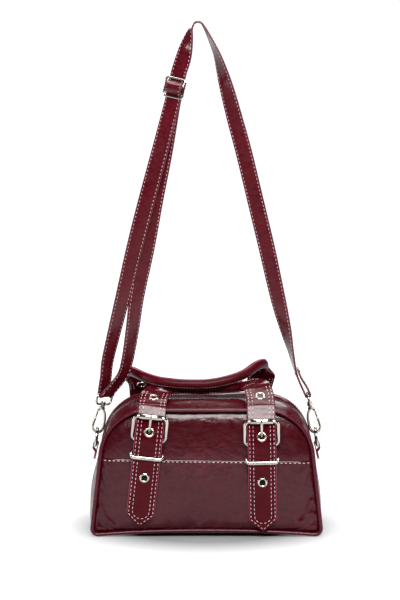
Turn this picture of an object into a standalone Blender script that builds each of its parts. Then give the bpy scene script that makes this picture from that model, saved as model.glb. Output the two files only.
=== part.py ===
"""A small zip-top handbag with belt-and-buckle straps, two rolled handles and a clip-on shoulder strap.

Frame: metres, X to the right seen from the front, Y to the back, Z up, origin on the floor
under the middle of the base. The front of the bag faces -Y.
"""
from math import cos, pi, radians, sin, sqrt

import bmesh
import bpy
from mathutils import Matrix, Vector

MM = 0.001
GAP = 0.4 * MM
RIGHT, FRONT, BACK, UP = Vector((1, 0, 0)), Vector((0, -1, 0)), Vector((0, 1, 0)), Vector((0, 0, 1))

# Body
HALF_BASE = 123.0 * MM
LEAN_IN = radians(6.4)
CORNER_RADIUS = 9.0 * MM
SHOULDER_RADIUS = 54.0 * MM
BODY_HEIGHT = 138.0 * MM
HALF_DEPTH = 54.0 * MM
PANEL_DOME = 3.5 * MM
LEATHER = 2.0 * MM
PIPING_RADIUS = 2.1 * MM
PIPING_INSET = PIPING_RADIUS + 0.4 * MM
PANEL_INSET = 2 * PIPING_RADIUS + 0.4 * MM + GAP
SEAM_HEIGHT = 81.0 * MM
GUSSET_BULGE = {"left": 7.0 * MM, "right": 4.6 * MM}
GUSSET_TOP = 97.0 * MM
GUSSET_TOP_NORMAL = radians(17.0)
BULGE_Z = 42.0 * MM
BULGE_REACH = 46.0 * MM
SHELL_INSET = 1.0 * MM
TAPE_DROP = 0.9 * MM
TOP_CROWN = 2.6 * MM
CROWN_RISE = 25.0 * MM
BASE = 2.4 * MM
BOARD = 2.0 * MM
LINING = 0.9 * MM
LINING_INSET = 10.0 * MM
LINING_HEIGHTS = (5.4, 14.0, 40.0, 70.0, 95.0, 112.0)

# Zip
ZIP_HALF = 12.0 * MM
TAPE = 0.8 * MM
TAPE_EDGE = 2.6 * MM
TOOTH = 1.6 * MM
TOOTH_INNER, TOOTH_OUTER = 0.8 * MM, 2.2 * MM
TEETH_END = 113.0 * MM
ZIP_START_X = -56.0 * MM
ZIP_Z = BODY_HEIGHT - SHELL_INSET + TOP_CROWN - TAPE_DROP - TAPE / 2
SLIDER_HALF = Vector((5.0, 4.4)) * MM
SLIDER_PLATE = 1.0 * MM

# Belts and buckles, each set worked out about its own upright middle line
BELT_WIDTH = 30.0 * MM
BELT = 2.2 * MM
BELT_POINT = 13.0 * MM
BELT_FACE = HALF_DEPTH + PANEL_DOME + GAP
HINGE_Z = 142.6 * MM
HINGE_Y = 51.5 * MM
WIRE = 1.6 * MM
FRAME_HALF = 17.6 * MM
LOWER_BAR_Z = 104.0 * MM
LOWER_BAR_Y = BELT_FACE + 3.8 * MM
ROLLER_Z = 130.0 * MM
ROLLER_Y = BELT_FACE + 8.1 * MM
ROLLER_RADIUS = 3.0 * MM
ROLLER_HALF = 12.2 * MM
KEEPER_Z = 85.0 * MM
EYELET_Z = 113.6 * MM
EYELET_RADIUS = 3.8 * MM
PRONG_WIRE = 0.9 * MM

# Handles
GRIP_RADIUS = 5.3 * MM
HANDLE_END = 28.0 * MM
HANDLE_END_THICK = 2.4 * MM
ROLL_FROM = {"front": 40.0 * MM, "rear": 12.0 * MM}
ROLL_OVER = 18.0 * MM

# Rings, hooks and shoulder strap
RING_BAR = {"left": Vector((-119.2, 0.0, 90.0)) * MM,
            "right": Vector((119.0, 0.0, 90.0)) * MM}
TAB_LEAN = radians(13.5)
RING_LEAN = radians(6.0)
RING_HALF = 10.5 * MM
RING_STRAIGHT = 7.0 * MM
HOOK_LEAN = radians(13.0)
HOOK_WIRE = 1.5 * MM
RING_PLAY = 1.3 * MM
EYE_WIRE = 1.3 * MM
EYE_HALF = Vector((11.8, 5.75)) * MM
STRAP_WIDTH = 18.0 * MM
STRAP = 2.0 * MM

COLOURS = {
    "leather": ((0.085, 0.006, 0.012), 0.22, 0.0),
    "edge": ((0.12, 0.008, 0.02), 0.35, 0.0),
    "metal": ((0.72, 0.69, 0.62), 0.18, 1.0),
    "tape": ((0.02, 0.014, 0.016), 0.75, 0.0),
    "lining": ((0.03, 0.012, 0.014), 0.8, 0.0),
    "board": ((0.25, 0.2, 0.15), 0.85, 0.0),
}


# ---------------------------------------------------------------- helpers
def clear():
    for thing in list(bpy.data.objects):
        bpy.data.objects.remove(thing, do_unlink=True)


def material(kind, name):
    colour, roughness, metallic = COLOURS[kind]
    made = bpy.data.materials.new(name)
    made.use_nodes = True
    shader = made.node_tree.nodes["Principled BSDF"]
    shader.inputs["Base Color"].default_value = (*colour, 1.0)
    shader.inputs["Roughness"].default_value = roughness
    shader.inputs["Metallic"].default_value = metallic
    return made


def place(name, mesh, kind, origin=(0, 0, 0), matrix=None):
    """An object whose origin is at `origin`; its mesh is given in world coordinates."""
    if matrix is not None:
        mesh.transform(matrix)
        origin = matrix @ Vector(origin)
    mesh.transform(Matrix.Translation(-Vector(origin)))
    thing = bpy.data.objects.new(name, mesh)
    thing.location = origin
    mesh.materials.append(material(kind, name))
    bpy.context.collection.objects.link(thing)
    return thing


def finish(bm, smooth=True):
    bmesh.ops.recalc_face_normals(bm, faces=bm.faces)
    mesh = bpy.data.meshes.new("shape")
    bm.to_mesh(mesh)
    bm.free()
    if smooth:
        mesh.shade_smooth()
        mesh.set_sharp_from_angle(angle=radians(35))
    return mesh


def skin(rings, loop=False):
    """A closed solid through rings of equally many points; the ends are capped unless it loops."""
    bm = bmesh.new()
    made = [[bm.verts.new(point) for point in ring] for ring in rings]
    pairs = list(zip(made, made[1:])) + ([(made[-1], made[0])] if loop else [])
    for ring, after in pairs:
        for i in range(len(ring)):
            j = (i + 1) % len(ring)
            bm.faces.new((ring[i], ring[j], after[j], after[i]))
    if not loop:
        bm.faces.new(reversed(made[0]))
        bm.faces.new(made[-1])
    return finish(bm)


def smooth_route(points, per_span):
    """Points read from a Catmull-Rom curve through `points`."""
    points = [Vector(p) for p in points]
    ends = [points[0] * 2 - points[1]] + points + [points[-1] * 2 - points[-2]]
    route = []
    for a, b, c, d in zip(ends, ends[1:], ends[2:], ends[3:]):
        for step in range(per_span):
            t = step / per_span
            route.append(0.5 * (2 * b + (c - a) * t + (2 * a - 5 * b + 4 * c - d) * t ** 2
                                + (3 * b - a - 3 * c + d) * t ** 3))
    return route + [points[-1]]


def tangents(route, loop=False):
    last = len(route) - 1
    found = []
    for i in range(len(route)):
        before = route[i - 1] if loop or i else route[0]
        after = route[(i + 1) % len(route)] if loop or i < last else route[last]
        found.append((after - before).normalized())
    return found


def tube(route, radius, side, sides=8, loop=False):
    """A round bar along `route`; `side` is a direction that the route never runs along."""
    rings = []
    for point, ahead in zip(route, tangents(route, loop)):
        u = (side - ahead * side.dot(ahead)).normalized()
        v = ahead.cross(u)
        rings.append([point + radius * (cos(a) * u + sin(a) * v)
                      for a in (2 * pi * (k + 0.5) / sides for k in range(sides))])
    return skin(rings, loop)


def band(route, widths, width, thick, loop=False):
    """A flat band: `widths` gives the direction of its width at each point of the route."""
    rings = []
    for point, ahead, across in zip(route, tangents(route, loop), widths):
        u = (across - ahead * across.dot(ahead)).normalized() * width / 2
        v = ahead.cross(u).normalized() * thick / 2
        rings.append([point + u + v, point - u + v, point - u - v, point + u - v])
    return skin(rings, loop)


def turned(profile, axis, centre, sides=16, hollow=False):
    """A solid of revolution from (distance along axis, radius) pairs; a hollow one is a closed ring."""
    axis = axis.normalized()
    u = axis.orthogonal().normalized()
    v = axis.cross(u)
    angles = [2 * pi * k / sides for k in range(sides)]
    rings = [[centre + axis * along + radius * (cos(a) * u + sin(a) * v) for a in angles]
             for along, radius in profile]
    if hollow:
        return skin([list(ring) for ring in zip(*rings)], loop=True)
    return skin(rings)


def slab(low, high):
    bm = bmesh.new()
    bmesh.ops.create_cube(bm, size=1.0)
    low, high = Vector(low), Vector(high)
    for v in bm.verts:
        v.co = Vector(((low[i] + high[i]) / 2 + v.co[i] * (high[i] - low[i]) for i in range(3)))
    return finish(bm, smooth=False)


def extruded(outline, along, length):
    """A flat outline of points, drawn out symmetrically to both sides."""
    half = along.normalized() * length / 2
    return skin([[p - half for p in outline], [p + half for p in outline]])


def joined(first, second, operation):
    """The Boolean of two meshes, as a new mesh."""
    a = bpy.data.objects.new("a", first)
    b = bpy.data.objects.new("b", second)
    for thing in (a, b):
        bpy.context.collection.objects.link(thing)
    change = a.modifiers.new("change", "BOOLEAN")
    change.operation = operation
    change.object = b
    graph = bpy.context.evaluated_depsgraph_get()
    mesh = bpy.data.meshes.new_from_object(a.evaluated_get(graph))
    for thing in (a, b):
        bpy.data.objects.remove(thing, do_unlink=True)
    return mesh


# ---------------------------------------------------------------- the bag's front outline
def arcs(inset):
    """The outline's two right-hand arcs: (centre x, centre z, radius, first angle, last angle)."""
    side_at_corner = HALF_BASE - CORNER_RADIUS / cos(LEAN_IN) + 0.6 * MM
    rise = BODY_HEIGHT - SHOULDER_RADIUS - CORNER_RADIUS
    shift = ((SHOULDER_RADIUS - CORNER_RADIUS) + rise * sin(LEAN_IN)) / cos(LEAN_IN)
    shoulder_x = side_at_corner - shift
    return ((side_at_corner, CORNER_RADIUS, CORNER_RADIUS - inset, -pi / 2, LEAN_IN),
            (shoulder_x, BODY_HEIGHT - SHOULDER_RADIUS, SHOULDER_RADIUS - inset, LEAN_IN, pi / 2))


def half_width(z, inset):
    """Half the outline's width at height z."""
    (bx, bz, br, _, b1), (tx, tz, tr, t0, _) = arcs(inset)
    low, high = bz + br * sin(b1), tz + tr * sin(t0)
    if z <= low:
        return bx + sqrt(max(br ** 2 - (z - bz) ** 2, 0.0))
    if z >= high:
        return tx + sqrt(max(tr ** 2 - (z - tz) ** 2, 0.0))
    part = (z - low) / (high - low)
    return (bx + br * cos(b1)) * (1 - part) + (tx + tr * cos(t0)) * part


def right_side(inset, corner_steps=4, side_steps=6, shoulder_steps=9):
    """(x, z, normal angle) from the base round the right side to the top."""
    (bx, bz, br, b0, b1), (tx, tz, tr, t0, t1) = arcs(inset)
    points = []
    for k in range(corner_steps + 1):
        a = b0 + (b1 - b0) * k / corner_steps
        points.append((bx + br * cos(a), bz + br * sin(a), a))
    first, last = points[-1], (tx + tr * cos(t0), tz + tr * sin(t0))
    for k in range(1, side_steps):
        f = k / side_steps
        points.append((first[0] * (1 - f) + last[0] * f, first[1] * (1 - f) + last[1] * f, t0))
    for k in range(shoulder_steps + 1):
        a = t0 + (t1 - t0) * k / shoulder_steps
        points.append((tx + tr * cos(a), tz + tr * sin(a), a))
    return points


def outline(inset):
    """The whole outline, anticlockwise seen from the front, as (x, z, normal angle)."""
    right = right_side(inset)
    return right + [(-x, z, pi - a) for x, z, a in reversed(right)]


def dome(x, z, inset):
    across = min(abs(x) / half_width(z, inset), 1.0)
    up = (z - BODY_HEIGHT / 2) / (BODY_HEIGHT / 2 - inset)
    return PANEL_DOME * (1 - across ** 4) * max(0.0, 1 - up ** 4)


def side_bulge(side, z):
    return GUSSET_BULGE[side] * max(0.0, 1 - ((z - BULGE_Z) / BULGE_REACH) ** 2)


# ---------------------------------------------------------------- body
def panel(name, facing, low, high, rows, columns=14):
    """One domed leather panel between two heights; `facing` is -1 at the front and 1 at the back."""
    faces = []
    for depth in (0.0, LEATHER):
        grid = []
        for r in range(rows + 1):
            z = low + (high - low) * r / rows
            across = [half_width(z, PANEL_INSET) * (2 * c / columns - 1) for c in range(columns + 1)]
            grid.append([Vector((x, facing * (HALF_DEPTH - depth + dome(x, z, PANEL_INSET)), z))
                         for x in across])
        faces.append(grid)
    bm = bmesh.new()
    sheets = [[[bm.verts.new(p) for p in row] for row in grid] for grid in faces]
    for sheet in sheets:
        for row, above in zip(sheet, sheet[1:]):
            for c in range(columns):
                bm.faces.new((row[c], row[c + 1], above[c + 1], above[c]))
    outer, inner = sheets
    rims = [(outer[0], inner[0]), (outer[-1], inner[-1]),
            ([row[0] for row in outer], [row[0] for row in inner]),
            ([row[-1] for row in outer], [row[-1] for row in inner])]
    for edge, back in rims:
        for i in range(len(edge) - 1):
            bm.faces.new((edge[i], edge[i + 1], back[i + 1], back[i]))
    place(name, finish(bm), "leather")


def strip(name, kind, stations, y_low, y_high, thick, lift, columns=6):
    """A strip of leather or tape that follows the outline; `lift` raises it off the outline."""
    rings = []
    for x, z, a in stations:
        out = Vector((cos(a), 0, sin(a)))
        across = [y_low + (y_high - y_low) * c / columns for c in range(columns + 1)]
        foot = Vector((x, 0, z))
        top = [foot + out * lift(y, z) + Vector((0, y, 0)) for y in across]
        under = [foot + out * (lift(y, z) - thick) + Vector((0, y, 0)) for y in reversed(across)]
        rings.append(top + under)
    place(name, skin(rings), kind)


def body_shell():
    for side, facing in (("front", -1), ("rear", 1)):
        panel(side + "_lower_panel", facing, PANEL_INSET, SEAM_HEIGHT - GAP / 2, 8)
        panel(side + "_upper_panel", facing, SEAM_HEIGHT + GAP / 2, BODY_HEIGHT - PANEL_INSET, 8)
        middle = [Vector((x, facing * HALF_DEPTH, z)) for x, z, _ in outline(PIPING_INSET)]
        place(side + "_piping", tube(middle, PIPING_RADIUS, BACK, sides=6, loop=True), "edge")

    edge = HALF_DEPTH - PIPING_RADIUS - GAP
    right = right_side(SHELL_INSET)
    wall = [s for s in right if s[1] < GUSSET_TOP][1:]
    wall.append((half_width(GUSSET_TOP, SHELL_INSET), GUSSET_TOP, GUSSET_TOP_NORMAL))
    for side in ("right", "left"):
        stations = [(x, z, a) if side == "right" else (-x, z, pi - a) for x, z, a in wall]

        def bulge(y, z):
            return side_bulge(side, z) * (1 - (y / edge) ** 2)

        strip(side + "_gusset", "leather", stations, -edge, edge, LEATHER, bulge)

    half = wall[0][0] - 3.4 * MM
    place("base_panel", slab((-half, -edge, 0), (half, edge, BASE)), "leather")
    half -= 4 * MM
    low = BASE + GAP
    place("base_board", slab((-half, -edge + 3 * MM, low), (half, edge - 3 * MM, low + BOARD)),
          "board")

    low = GUSSET_TOP + 1.0 * MM
    over = [(half_width(low, SHELL_INSET), low, GUSSET_TOP_NORMAL)]
    over += [s for s in right if s[1] > low + 2 * MM]
    over += [(-x, z, pi - a) for x, z, a in reversed(over)]
    toothed = [s for s in over if s[1] > TEETH_END]

    def crown(y, z):
        return TOP_CROWN * (1 - (abs(y) / edge) ** 3) * min(1.0, (z - GUSSET_TOP) / CROWN_RISE)

    def tape_lift(y, z):
        return crown(ZIP_HALF, z) - TAPE_DROP

    def tooth_lift(y, z):
        return tape_lift(y, z) + (TOOTH - TAPE) / 2

    for side, facing in (("front", -1), ("rear", 1)):
        ends = sorted((facing * edge, facing * ZIP_HALF))
        strip("top_gusset_" + side, "leather", over, *ends, LEATHER, crown)
        ends = sorted((facing * (ZIP_HALF - GAP), facing * TAPE_EDGE))
        strip("zipper_tape_" + side, "tape", over, *ends, TAPE, tape_lift, columns=1)
        ends = sorted((facing * TOOTH_OUTER, facing * TOOTH_INNER))
        strip("zipper_teeth_" + side, "metal", toothed, *ends, TOOTH, tooth_lift, columns=1)


def lining():
    """A thin open-topped bag inside the shell."""
    depth = HALF_DEPTH - LEATHER - 3.4 * MM

    def ring(z, wall, level):
        half, y = half_width(z, LINING_INSET) - wall, depth - wall
        return [Vector((x * half, d * y, level)) for x, d in ((1, -1), (1, 1), (-1, 1), (-1, -1))]

    floor = LINING_HEIGHTS[0] * MM
    rings = [ring(h * MM, 0.0, h * MM) for h in LINING_HEIGHTS]
    rings += [ring(h * MM, LINING, h * MM) for h in reversed(LINING_HEIGHTS[1:])]
    rings.append(ring(floor + LINING, LINING, floor + LINING))
    place("lining", skin(rings), "lining")


# ---------------------------------------------------------------- zip slider and pull
def zipper_slider():
    """Top and bottom plates joined by the wedge that runs between the rows of teeth."""
    top = ZIP_Z + TOOTH / 2 + GAP
    under = ZIP_Z - TOOTH / 2 - GAP
    low = Vector((ZIP_START_X - SLIDER_HALF.x, -SLIDER_HALF.y))
    high = Vector((ZIP_START_X + SLIDER_HALF.x, SLIDER_HALF.y))
    mesh = slab((*low, top), (*high, top + SLIDER_PLATE))
    mesh = joined(mesh, slab((*low, under - SLIDER_PLATE), (*high, under)), "UNION")
    wedge = slab((ZIP_START_X + 1 * MM, -0.4 * MM, under - 0.5 * MM),
                 (ZIP_START_X + 4 * MM, 0.4 * MM, top + 0.5 * MM))
    mesh = joined(mesh, wedge, "UNION")
    bridge = [Vector((ZIP_START_X + 3.5 * MM * cos(a) - 0.5 * MM, 0, top + 0.9 * MM + 2.4 * MM * sin(a)))
              for a in (pi * k / 6 for k in range(7))]
    for foot in (bridge[0], bridge[-1]):
        foot.z -= 0.4 * MM
    mesh = joined(mesh, tube(bridge, 0.6 * MM, BACK, sides=6), "UNION")
    place("zipper_slider", mesh, "metal", (ZIP_START_X, 0, ZIP_Z))
    return top + SLIDER_PLATE


def zipper_pull(plate):
    """A flat puller on a ring through the slider's bridge, lying towards the left end."""
    hinge = Vector((ZIP_START_X - 1.6 * MM, 0, plate + 0.95 * MM))
    ring = [hinge + Vector((dx, y, 0)) * MM for dx, y in (
        (0.3, -2.2), (0.3, 2.2), (-1.5, 3.1), (-6.2, 3.1), (-6.2, -3.1), (-1.5, -3.1))]
    mesh = tube(ring, 0.5 * MM, UP, sides=6, loop=True)
    tab = slab(hinge + Vector((-17.5, -2.6, -0.7)) * MM, hinge + Vector((-6.0, 2.6, 0.7)) * MM)
    place("zipper_pull", joined(mesh, tab, "UNION"), "metal", hinge)


# ---------------------------------------------------------------- belts and buckles
def wrap_tab(bar, bar_radius, thick, foot, face, width, across, up):
    """Leather folded round a bar and sewn flat below it.

    `across` points along the bar and `up` from the sewn end to it; `face` is how far the sewn
    layers' inner side lies from the bar's middle, negative towards the bag.
    """
    out = across.cross(up).normalized()
    reach = bar_radius + GAP + thick
    profile = [bar + reach * (cos(a) * out + sin(a) * up)
               for a in (radians(-35 + 250 * k / 12) for k in range(13))]
    profile += [bar + out * depth - up * drop for depth, drop in (
        (face, 6 * MM), (face, foot), (face + 2 * thick, foot), (face + 2 * thick, 6 * MM))]
    mesh = extruded(profile, across, width)
    hole = [bar + (bar_radius + GAP) * (cos(a) * out + sin(a) * up)
            for a in (2 * pi * k / 12 for k in range(12))]
    return joined(mesh, extruded(hole, across, width + 4 * MM), "DIFFERENCE")


def belt_route(drop):
    """The belt's middle line in its own plane, as (out, height); its lower part is dropped."""
    over = [(HINGE_Y + 1.6 * MM, HINGE_Z), (HINGE_Y + 5.4 * MM, HINGE_Z - 1.6 * MM),
            (BELT_FACE + 1.9 * MM, HINGE_Z - 6.5 * MM)]
    down = [(ROLLER_Y - ROLLER_RADIUS - 1.5 * MM - BELT_FACE, 131.0 * MM)]
    down += [(y * MM, z * MM) for y, z in (
        (4.6, 124.0), (6.1, 117.0), (7.9, 110.0), (8.3, 104.0), (7.6, 98.0), (6.0, 89.0), (6.0, 80.0),
        (2.6, 66.0), (1.8, 44.0), (1.6, 26.0))]
    return over + [(BELT_FACE + y, z - drop) for y, z in down]


def belt_mesh(drop):
    """A leather belt with a pointed end and the prong's eyelet through it."""
    points = [FRONT * y + UP * z for y, z in belt_route(drop)]
    tip = points[-1] - UP * BELT_POINT
    route = smooth_route(points, 3) + [tip]
    rings = []
    for point, ahead in zip(route, tangents(route)):
        u = RIGHT * (2.0 * MM if point == tip else BELT_WIDTH / 2)
        v = ahead.cross(RIGHT).normalized() * BELT / 2
        rings.append([point + u + v, point - u + v, point - u - v, point + u - v])
    eyelet = FRONT * (BELT_FACE + 6.4 * MM) + UP * (EYELET_Z - drop)
    hole = turned([(-6 * MM, EYELET_RADIUS), (6 * MM, EYELET_RADIUS)], FRONT, eyelet, 12)
    return joined(skin(rings), hole, "DIFFERENCE")


def rounded_loop(half_a, half_b, radius, steps=3):
    """A rounded rectangle, as (a, b) pairs."""
    points = []
    for ca, cb, start in ((1, 1, 0), (-1, 1, 90), (-1, -1, 180), (1, -1, 270)):
        for k in range(steps + 1):
            a = radians(start + 90 * k / steps)
            points.append((ca * (half_a - radius) + radius * cos(a),
                           cb * (half_b - radius) + radius * sin(a)))
    return points


def buckle_set(name, middle, lean, drop, turn):
    """A belt with its buckle frame, roller, prong, keeper and the tab that holds them."""
    stand = (Matrix.Rotation(turn, 4, "Z") @ Matrix.Translation((middle, 0, 0))
             @ Matrix.Translation((0, 0, HINGE_Z)) @ Matrix.Rotation(lean, 4, "Y")
             @ Matrix.Translation((0, 0, -HINGE_Z)))
    bar = FRONT * LOWER_BAR_Y + UP * (LOWER_BAR_Z - drop)
    top = FRONT * ROLLER_Y + UP * (ROLLER_Z - drop)
    place(name + "_belt", belt_mesh(drop), "leather", matrix=stand)

    middle_point, rise = (bar + top) / 2, (top - bar)
    frame = [middle_point + RIGHT * a + rise.normalized() * b
             for a, b in rounded_loop(FRAME_HALF, rise.length / 2, 4 * MM)]
    place(name + "_buckle_frame", tube(frame, WIRE, rise.cross(RIGHT), loop=True), "metal", bar, stand)

    bore = WIRE + 0.35 * MM
    sleeve = [(-ROLLER_HALF, bore), (-ROLLER_HALF, ROLLER_RADIUS), (ROLLER_HALF, ROLLER_RADIUS),
              (ROLLER_HALF, bore)]
    place(name + "_roller", turned(sleeve, RIGHT, top, 14, hollow=True), "metal", top, stand)

    loop = WIRE + GAP + PRONG_WIRE
    hook = [bar + loop * (FRONT * sin(a) + UP * cos(a))
            for a in (radians(-235 + 215 * k / 7) for k in range(8))]
    tip = [(1.2, 7.0), (3.4, 10.0), (5.2, 12.2), (7.2, 16.0), (8.5, 22.0), (8.65, 27.0), (7.4, 31.0)]
    hook += [bar + FRONT * a * MM + UP * b * MM for a, b in tip]
    place(name + "_prong", tube(hook, PRONG_WIRE, RIGHT, sides=6), "metal", bar, stand)

    face = -(LOWER_BAR_Y - BELT_FACE)
    tab = wrap_tab(bar, WIRE, 1.0 * MM, 33 * MM, face, 24 * MM, RIGHT, UP)
    slot = slab(bar + Vector((-2.6, -8, -4.4)) * MM, bar + Vector((2.6, 8, 9)) * MM)
    place(name + "_buckle_tab", joined(tab, slot, "DIFFERENCE"), "leather", matrix=stand)

    keeper_middle = FRONT * (BELT_FACE + 6.0 * MM) + UP * (KEEPER_Z - drop)
    keeper = [keeper_middle + RIGHT * a + FRONT * b
              for a, b in rounded_loop(BELT_WIDTH / 2 + 1.6 * MM, BELT / 2 + 1.5 * MM, 1.6 * MM, 2)]
    place(name + "_keeper", tube(keeper, 0.95 * MM, UP, sides=6, loop=True), "metal", matrix=stand)


# ---------------------------------------------------------------- handles
def handle(side, spine, facing):
    """A strip of leather rolled into a grip, flat where it is sewn to the belts."""
    route = smooth_route([Vector(p) * MM for p in spine], 4)
    lengths = [0.0]
    for a, b in zip(route, route[1:]):
        lengths.append(lengths[-1] + (b - a).length)
    rings = []
    sides = 10
    for point, ahead, here in zip(route, tangents(route), lengths):
        from_end = min(here, lengths[-1] - here)
        rolled = min(max((from_end - ROLL_FROM[side]) / ROLL_OVER, 0.0), 1.0)
        rolled = rolled * rolled * (3 - 2 * rolled)
        wide = (1 - rolled) * HANDLE_END / 2 + rolled * GRIP_RADIUS
        thick = (1 - rolled) * HANDLE_END_THICK / 2 + rolled * GRIP_RADIUS
        u = ahead.cross(Vector((0, 0.5 * facing, 0.85))).normalized()
        v = ahead.cross(u)
        rings.append([point + wide * cos(a) * u + thick * sin(a) * v
                      for a in (2 * pi * k / sides for k in range(sides))])
    place(side + "_handle", skin(rings), "leather", (0, facing * HINGE_Y, HINGE_Z))


# ---------------------------------------------------------------- rings and hooks
def side_hardware(side, s, yaw):
    """One end of the shoulder strap: sewn tab, D-ring, snap hook with its gate, and swivel eye."""
    bar = RING_BAR[side].copy()
    tab_up = Vector((-s * sin(TAB_LEAN), 0, cos(TAB_LEAN)))
    tab = wrap_tab(bar, WIRE, 1.2 * MM, 15.5 * MM, -3.3 * MM, 15 * MM, BACK * s, tab_up)
    place(side + "_ring_tab", tab, "leather")

    rise = Vector((-s * sin(RING_LEAN), 0, cos(RING_LEAN)))
    arc = bar + rise * RING_STRAIGHT
    corner = [(RING_HALF - 2 * MM, 0.0), (RING_HALF - 0.5 * MM, 0.6 * MM), (RING_HALF, 2 * MM)]
    ring = [bar + BACK * b + rise * r for b, r in corner]
    ring += [arc + RING_HALF * (BACK * cos(a) + rise * sin(a)) for a in (pi * k / 10 for k in range(11))]
    ring += [bar - BACK * b + rise * r for b, r in reversed(corner)]
    place(side + "_ring", tube(ring, WIRE, rise.cross(BACK), loop=True), "metal", bar)

    lean = Vector((-s * sin(HOOK_LEAN), 0, cos(HOOK_LEAN)))
    crest = arc + rise * RING_HALF
    low = crest - lean * (WIRE + HOOK_WIRE + RING_PLAY)
    across = Vector((cos(HOOK_LEAN), 0, s * sin(HOOK_LEAN)))

    def at(a, b):
        return low + (across * a * s + lean * b) * MM

    # the open hook, from its tip round the bottom to the gate's hinge, and up to the neck
    shape = ((4.9, 14.0), (5.6, 9.0), (5.3, 4.2), (3.4, 0.8), (0.0, 0.0), (-3.4, 0.8), (-5.5, 4.4),
             (-5.8, 10.0), (-5.4, 16.0), (-3.8, 22.0), (-1.2, 25.6), (0.0, 27.2))
    hook = tube(smooth_route([at(a, b) for a, b in shape], 2), HOOK_WIRE, BACK, sides=8)
    neck = at(0, 27)
    profile = ((-1.5, 3.2), (1.0, 3.2), (1.4, 1.2), (6.4, 1.2), (6.5, 2.6), (7.8, 2.0))
    stem = turned([(along * MM, radius * MM) for along, radius in profile], lean, neck, 12)
    hook = joined(hook, stem, "UNION")
    ear = tube([at(1.2, 26.6), at(3.4, 23.4)], 1.2 * MM, BACK, sides=8)
    place(side + "_hook", joined(hook, ear, "UNION"), "metal", neck)
    gate = tube([at(3.8, 21.4), at(4.7, 15.8)], 1.1 * MM, BACK, sides=8)
    place(side + "_hook_gate", gate, "metal", at(3.6, 22.0))

    eye_low = neck + lean * 3.9 * MM
    bar_way = Matrix.Rotation(yaw, 3, lean) @ BACK
    eye_high = eye_low + lean * 2 * EYE_HALF.y
    loop = [eye_low + bar_way * a + lean * (EYE_HALF.y + b) for a, b in rounded_loop(*EYE_HALF, 4 * MM)]
    eye = tube(loop, EYE_WIRE, lean.cross(bar_way), loop=True)
    boss = turned([(-2.0 * MM, 3.0 * MM), (2.0 * MM, 3.0 * MM)], lean, eye_low, 12)
    bore = turned([(-4.0 * MM, 1.6 * MM), (4.0 * MM, 1.6 * MM)], lean, eye_low, 12)
    eye = joined(joined(eye, boss, "UNION"), bore, "DIFFERENCE")
    place(side + "_swivel_eye", eye, "metal", eye_low)
    return eye_high, bar_way, lean


# ---------------------------------------------------------------- shoulder strap
SLIDER_AT = Vector((-34.0, -2.0, 472.0)) * MM
SLIDER_UP = Vector((0.225, 0.0, 0.974)).normalized()
SLIDER_ACROSS = Vector((0.90, -0.36, -0.208)).normalized()
FOLD = EYE_WIRE + GAP + STRAP / 2
LONGEST_SPAN = 22 * MM


def slider_point(along, out):
    """A point by the slider: `along` the strap and `out` to its front, in millimetres."""
    normal = SLIDER_ACROSS.cross(SLIDER_UP).normalized()
    return SLIDER_AT + (SLIDER_UP * along + normal * out) * MM


def left_strands(bar, across, up):
    """(point, width direction) from the slider's middle bar down to the left eye's bar, round it,
    and back up through the slider."""
    out = up.cross(across).normalized()
    if out.x > 0:
        out = -out
    if across.x < 0:
        across = -across

    def between(height, y, points):
        low, high = height
        for x, z in points:
            f = (z - low) / (high - low)
            yield Vector((x, y, z)) * MM, SLIDER_ACROSS * f + across * (1 - f)

    steps = [(slider_point(*p), SLIDER_ACROSS) for p in (
        (-1.4, 2.75), (0.6, 2.7), (2.4, 1.2), (2.6, -1.0), (0.8, -2.7), (-4, -3.7), (-10, -5.3),
        (-19, -5.6))]
    steps += between((163, 450), 4.5, (
        (-45, 403), (-55, 353), (-64, 302), (-74.5, 250), (-79.5, 214), (-85, 181), (-91, 163)))
    steps += [(bar - FOLD * (out * cos(a) + up * sin(a)), across)
              for a in (pi * k / 6 for k in range(7))]
    steps += between((164, 450), -3.0, (
        (-108, 164), (-106, 181), (-98, 215), (-89.4, 250), (-77, 302), (-63.7, 353), (-50, 404)))
    steps += [(slider_point(*p), SLIDER_ACROSS) for p in (
        (-19, -2.9), (-10, -2.8), (-7.8, -1.6), (-5.0, 1.6), (-2.6, 4.4), (0, 5.2), (2.6, 4.4),
        (5.0, 1.6), (7.8, -1.6), (10, -2.8), (17, -2.6))]
    return steps


def right_strand(bar, across, up):
    """(point, width direction) over the top and down to the right eye's bar, where the end is
    folded back."""
    over = ((-24.6, 503, 0.8), (-19.8, 522, 0.45), (-16.5, 534, 0.15), (-12.4, 540.2, 0.0),
            (-6.6, 540.6, 0.0), (-1.8, 534.5, 0.05), (5.3, 520, 0.2), (12.3, 503, 0.35),
            (21.4, 471, 0.65), (30.5, 437, 0.85), (39.5, 404, 0.95), (51.9, 353, 0.95),
            (64.2, 302, 0.95), (75.9, 250, 0.75), (84.5, 215, 0.5), (90.5, 190, 0.25),
            (96.5, 166, 0.05))
    steps = [(Vector((x, -0.5 if z > 500 else 0.0, z)) * MM, Vector((facing, -1 + 0.85 * facing, 0)))
             for x, z, facing in over]
    out = up.cross(across).normalized()
    if out.x < 0:
        out = -out
    steps += [(bar - FOLD * (out * cos(a) + up * sin(a)), FRONT) for a in (pi * k / 6 for k in range(7))]
    steps += [(bar + out * (FOLD - depth * MM) + up * rise * MM, FRONT)
              for depth, rise in ((0.2, 9), (1.4, 20), (3.0, 31))]
    return steps


def shoulder_strap(left, right):
    """One long strap, from the slider to the left eye, back through the slider and over to the
    right eye."""
    steps = left_strands(*left) + right_strand(*right)
    route = [point for point, _ in steps]
    widths = [across.normalized() for _, across in steps]
    place("shoulder_strap", band(*refined(route, widths, LONGEST_SPAN), STRAP_WIDTH, STRAP), "leather")


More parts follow.
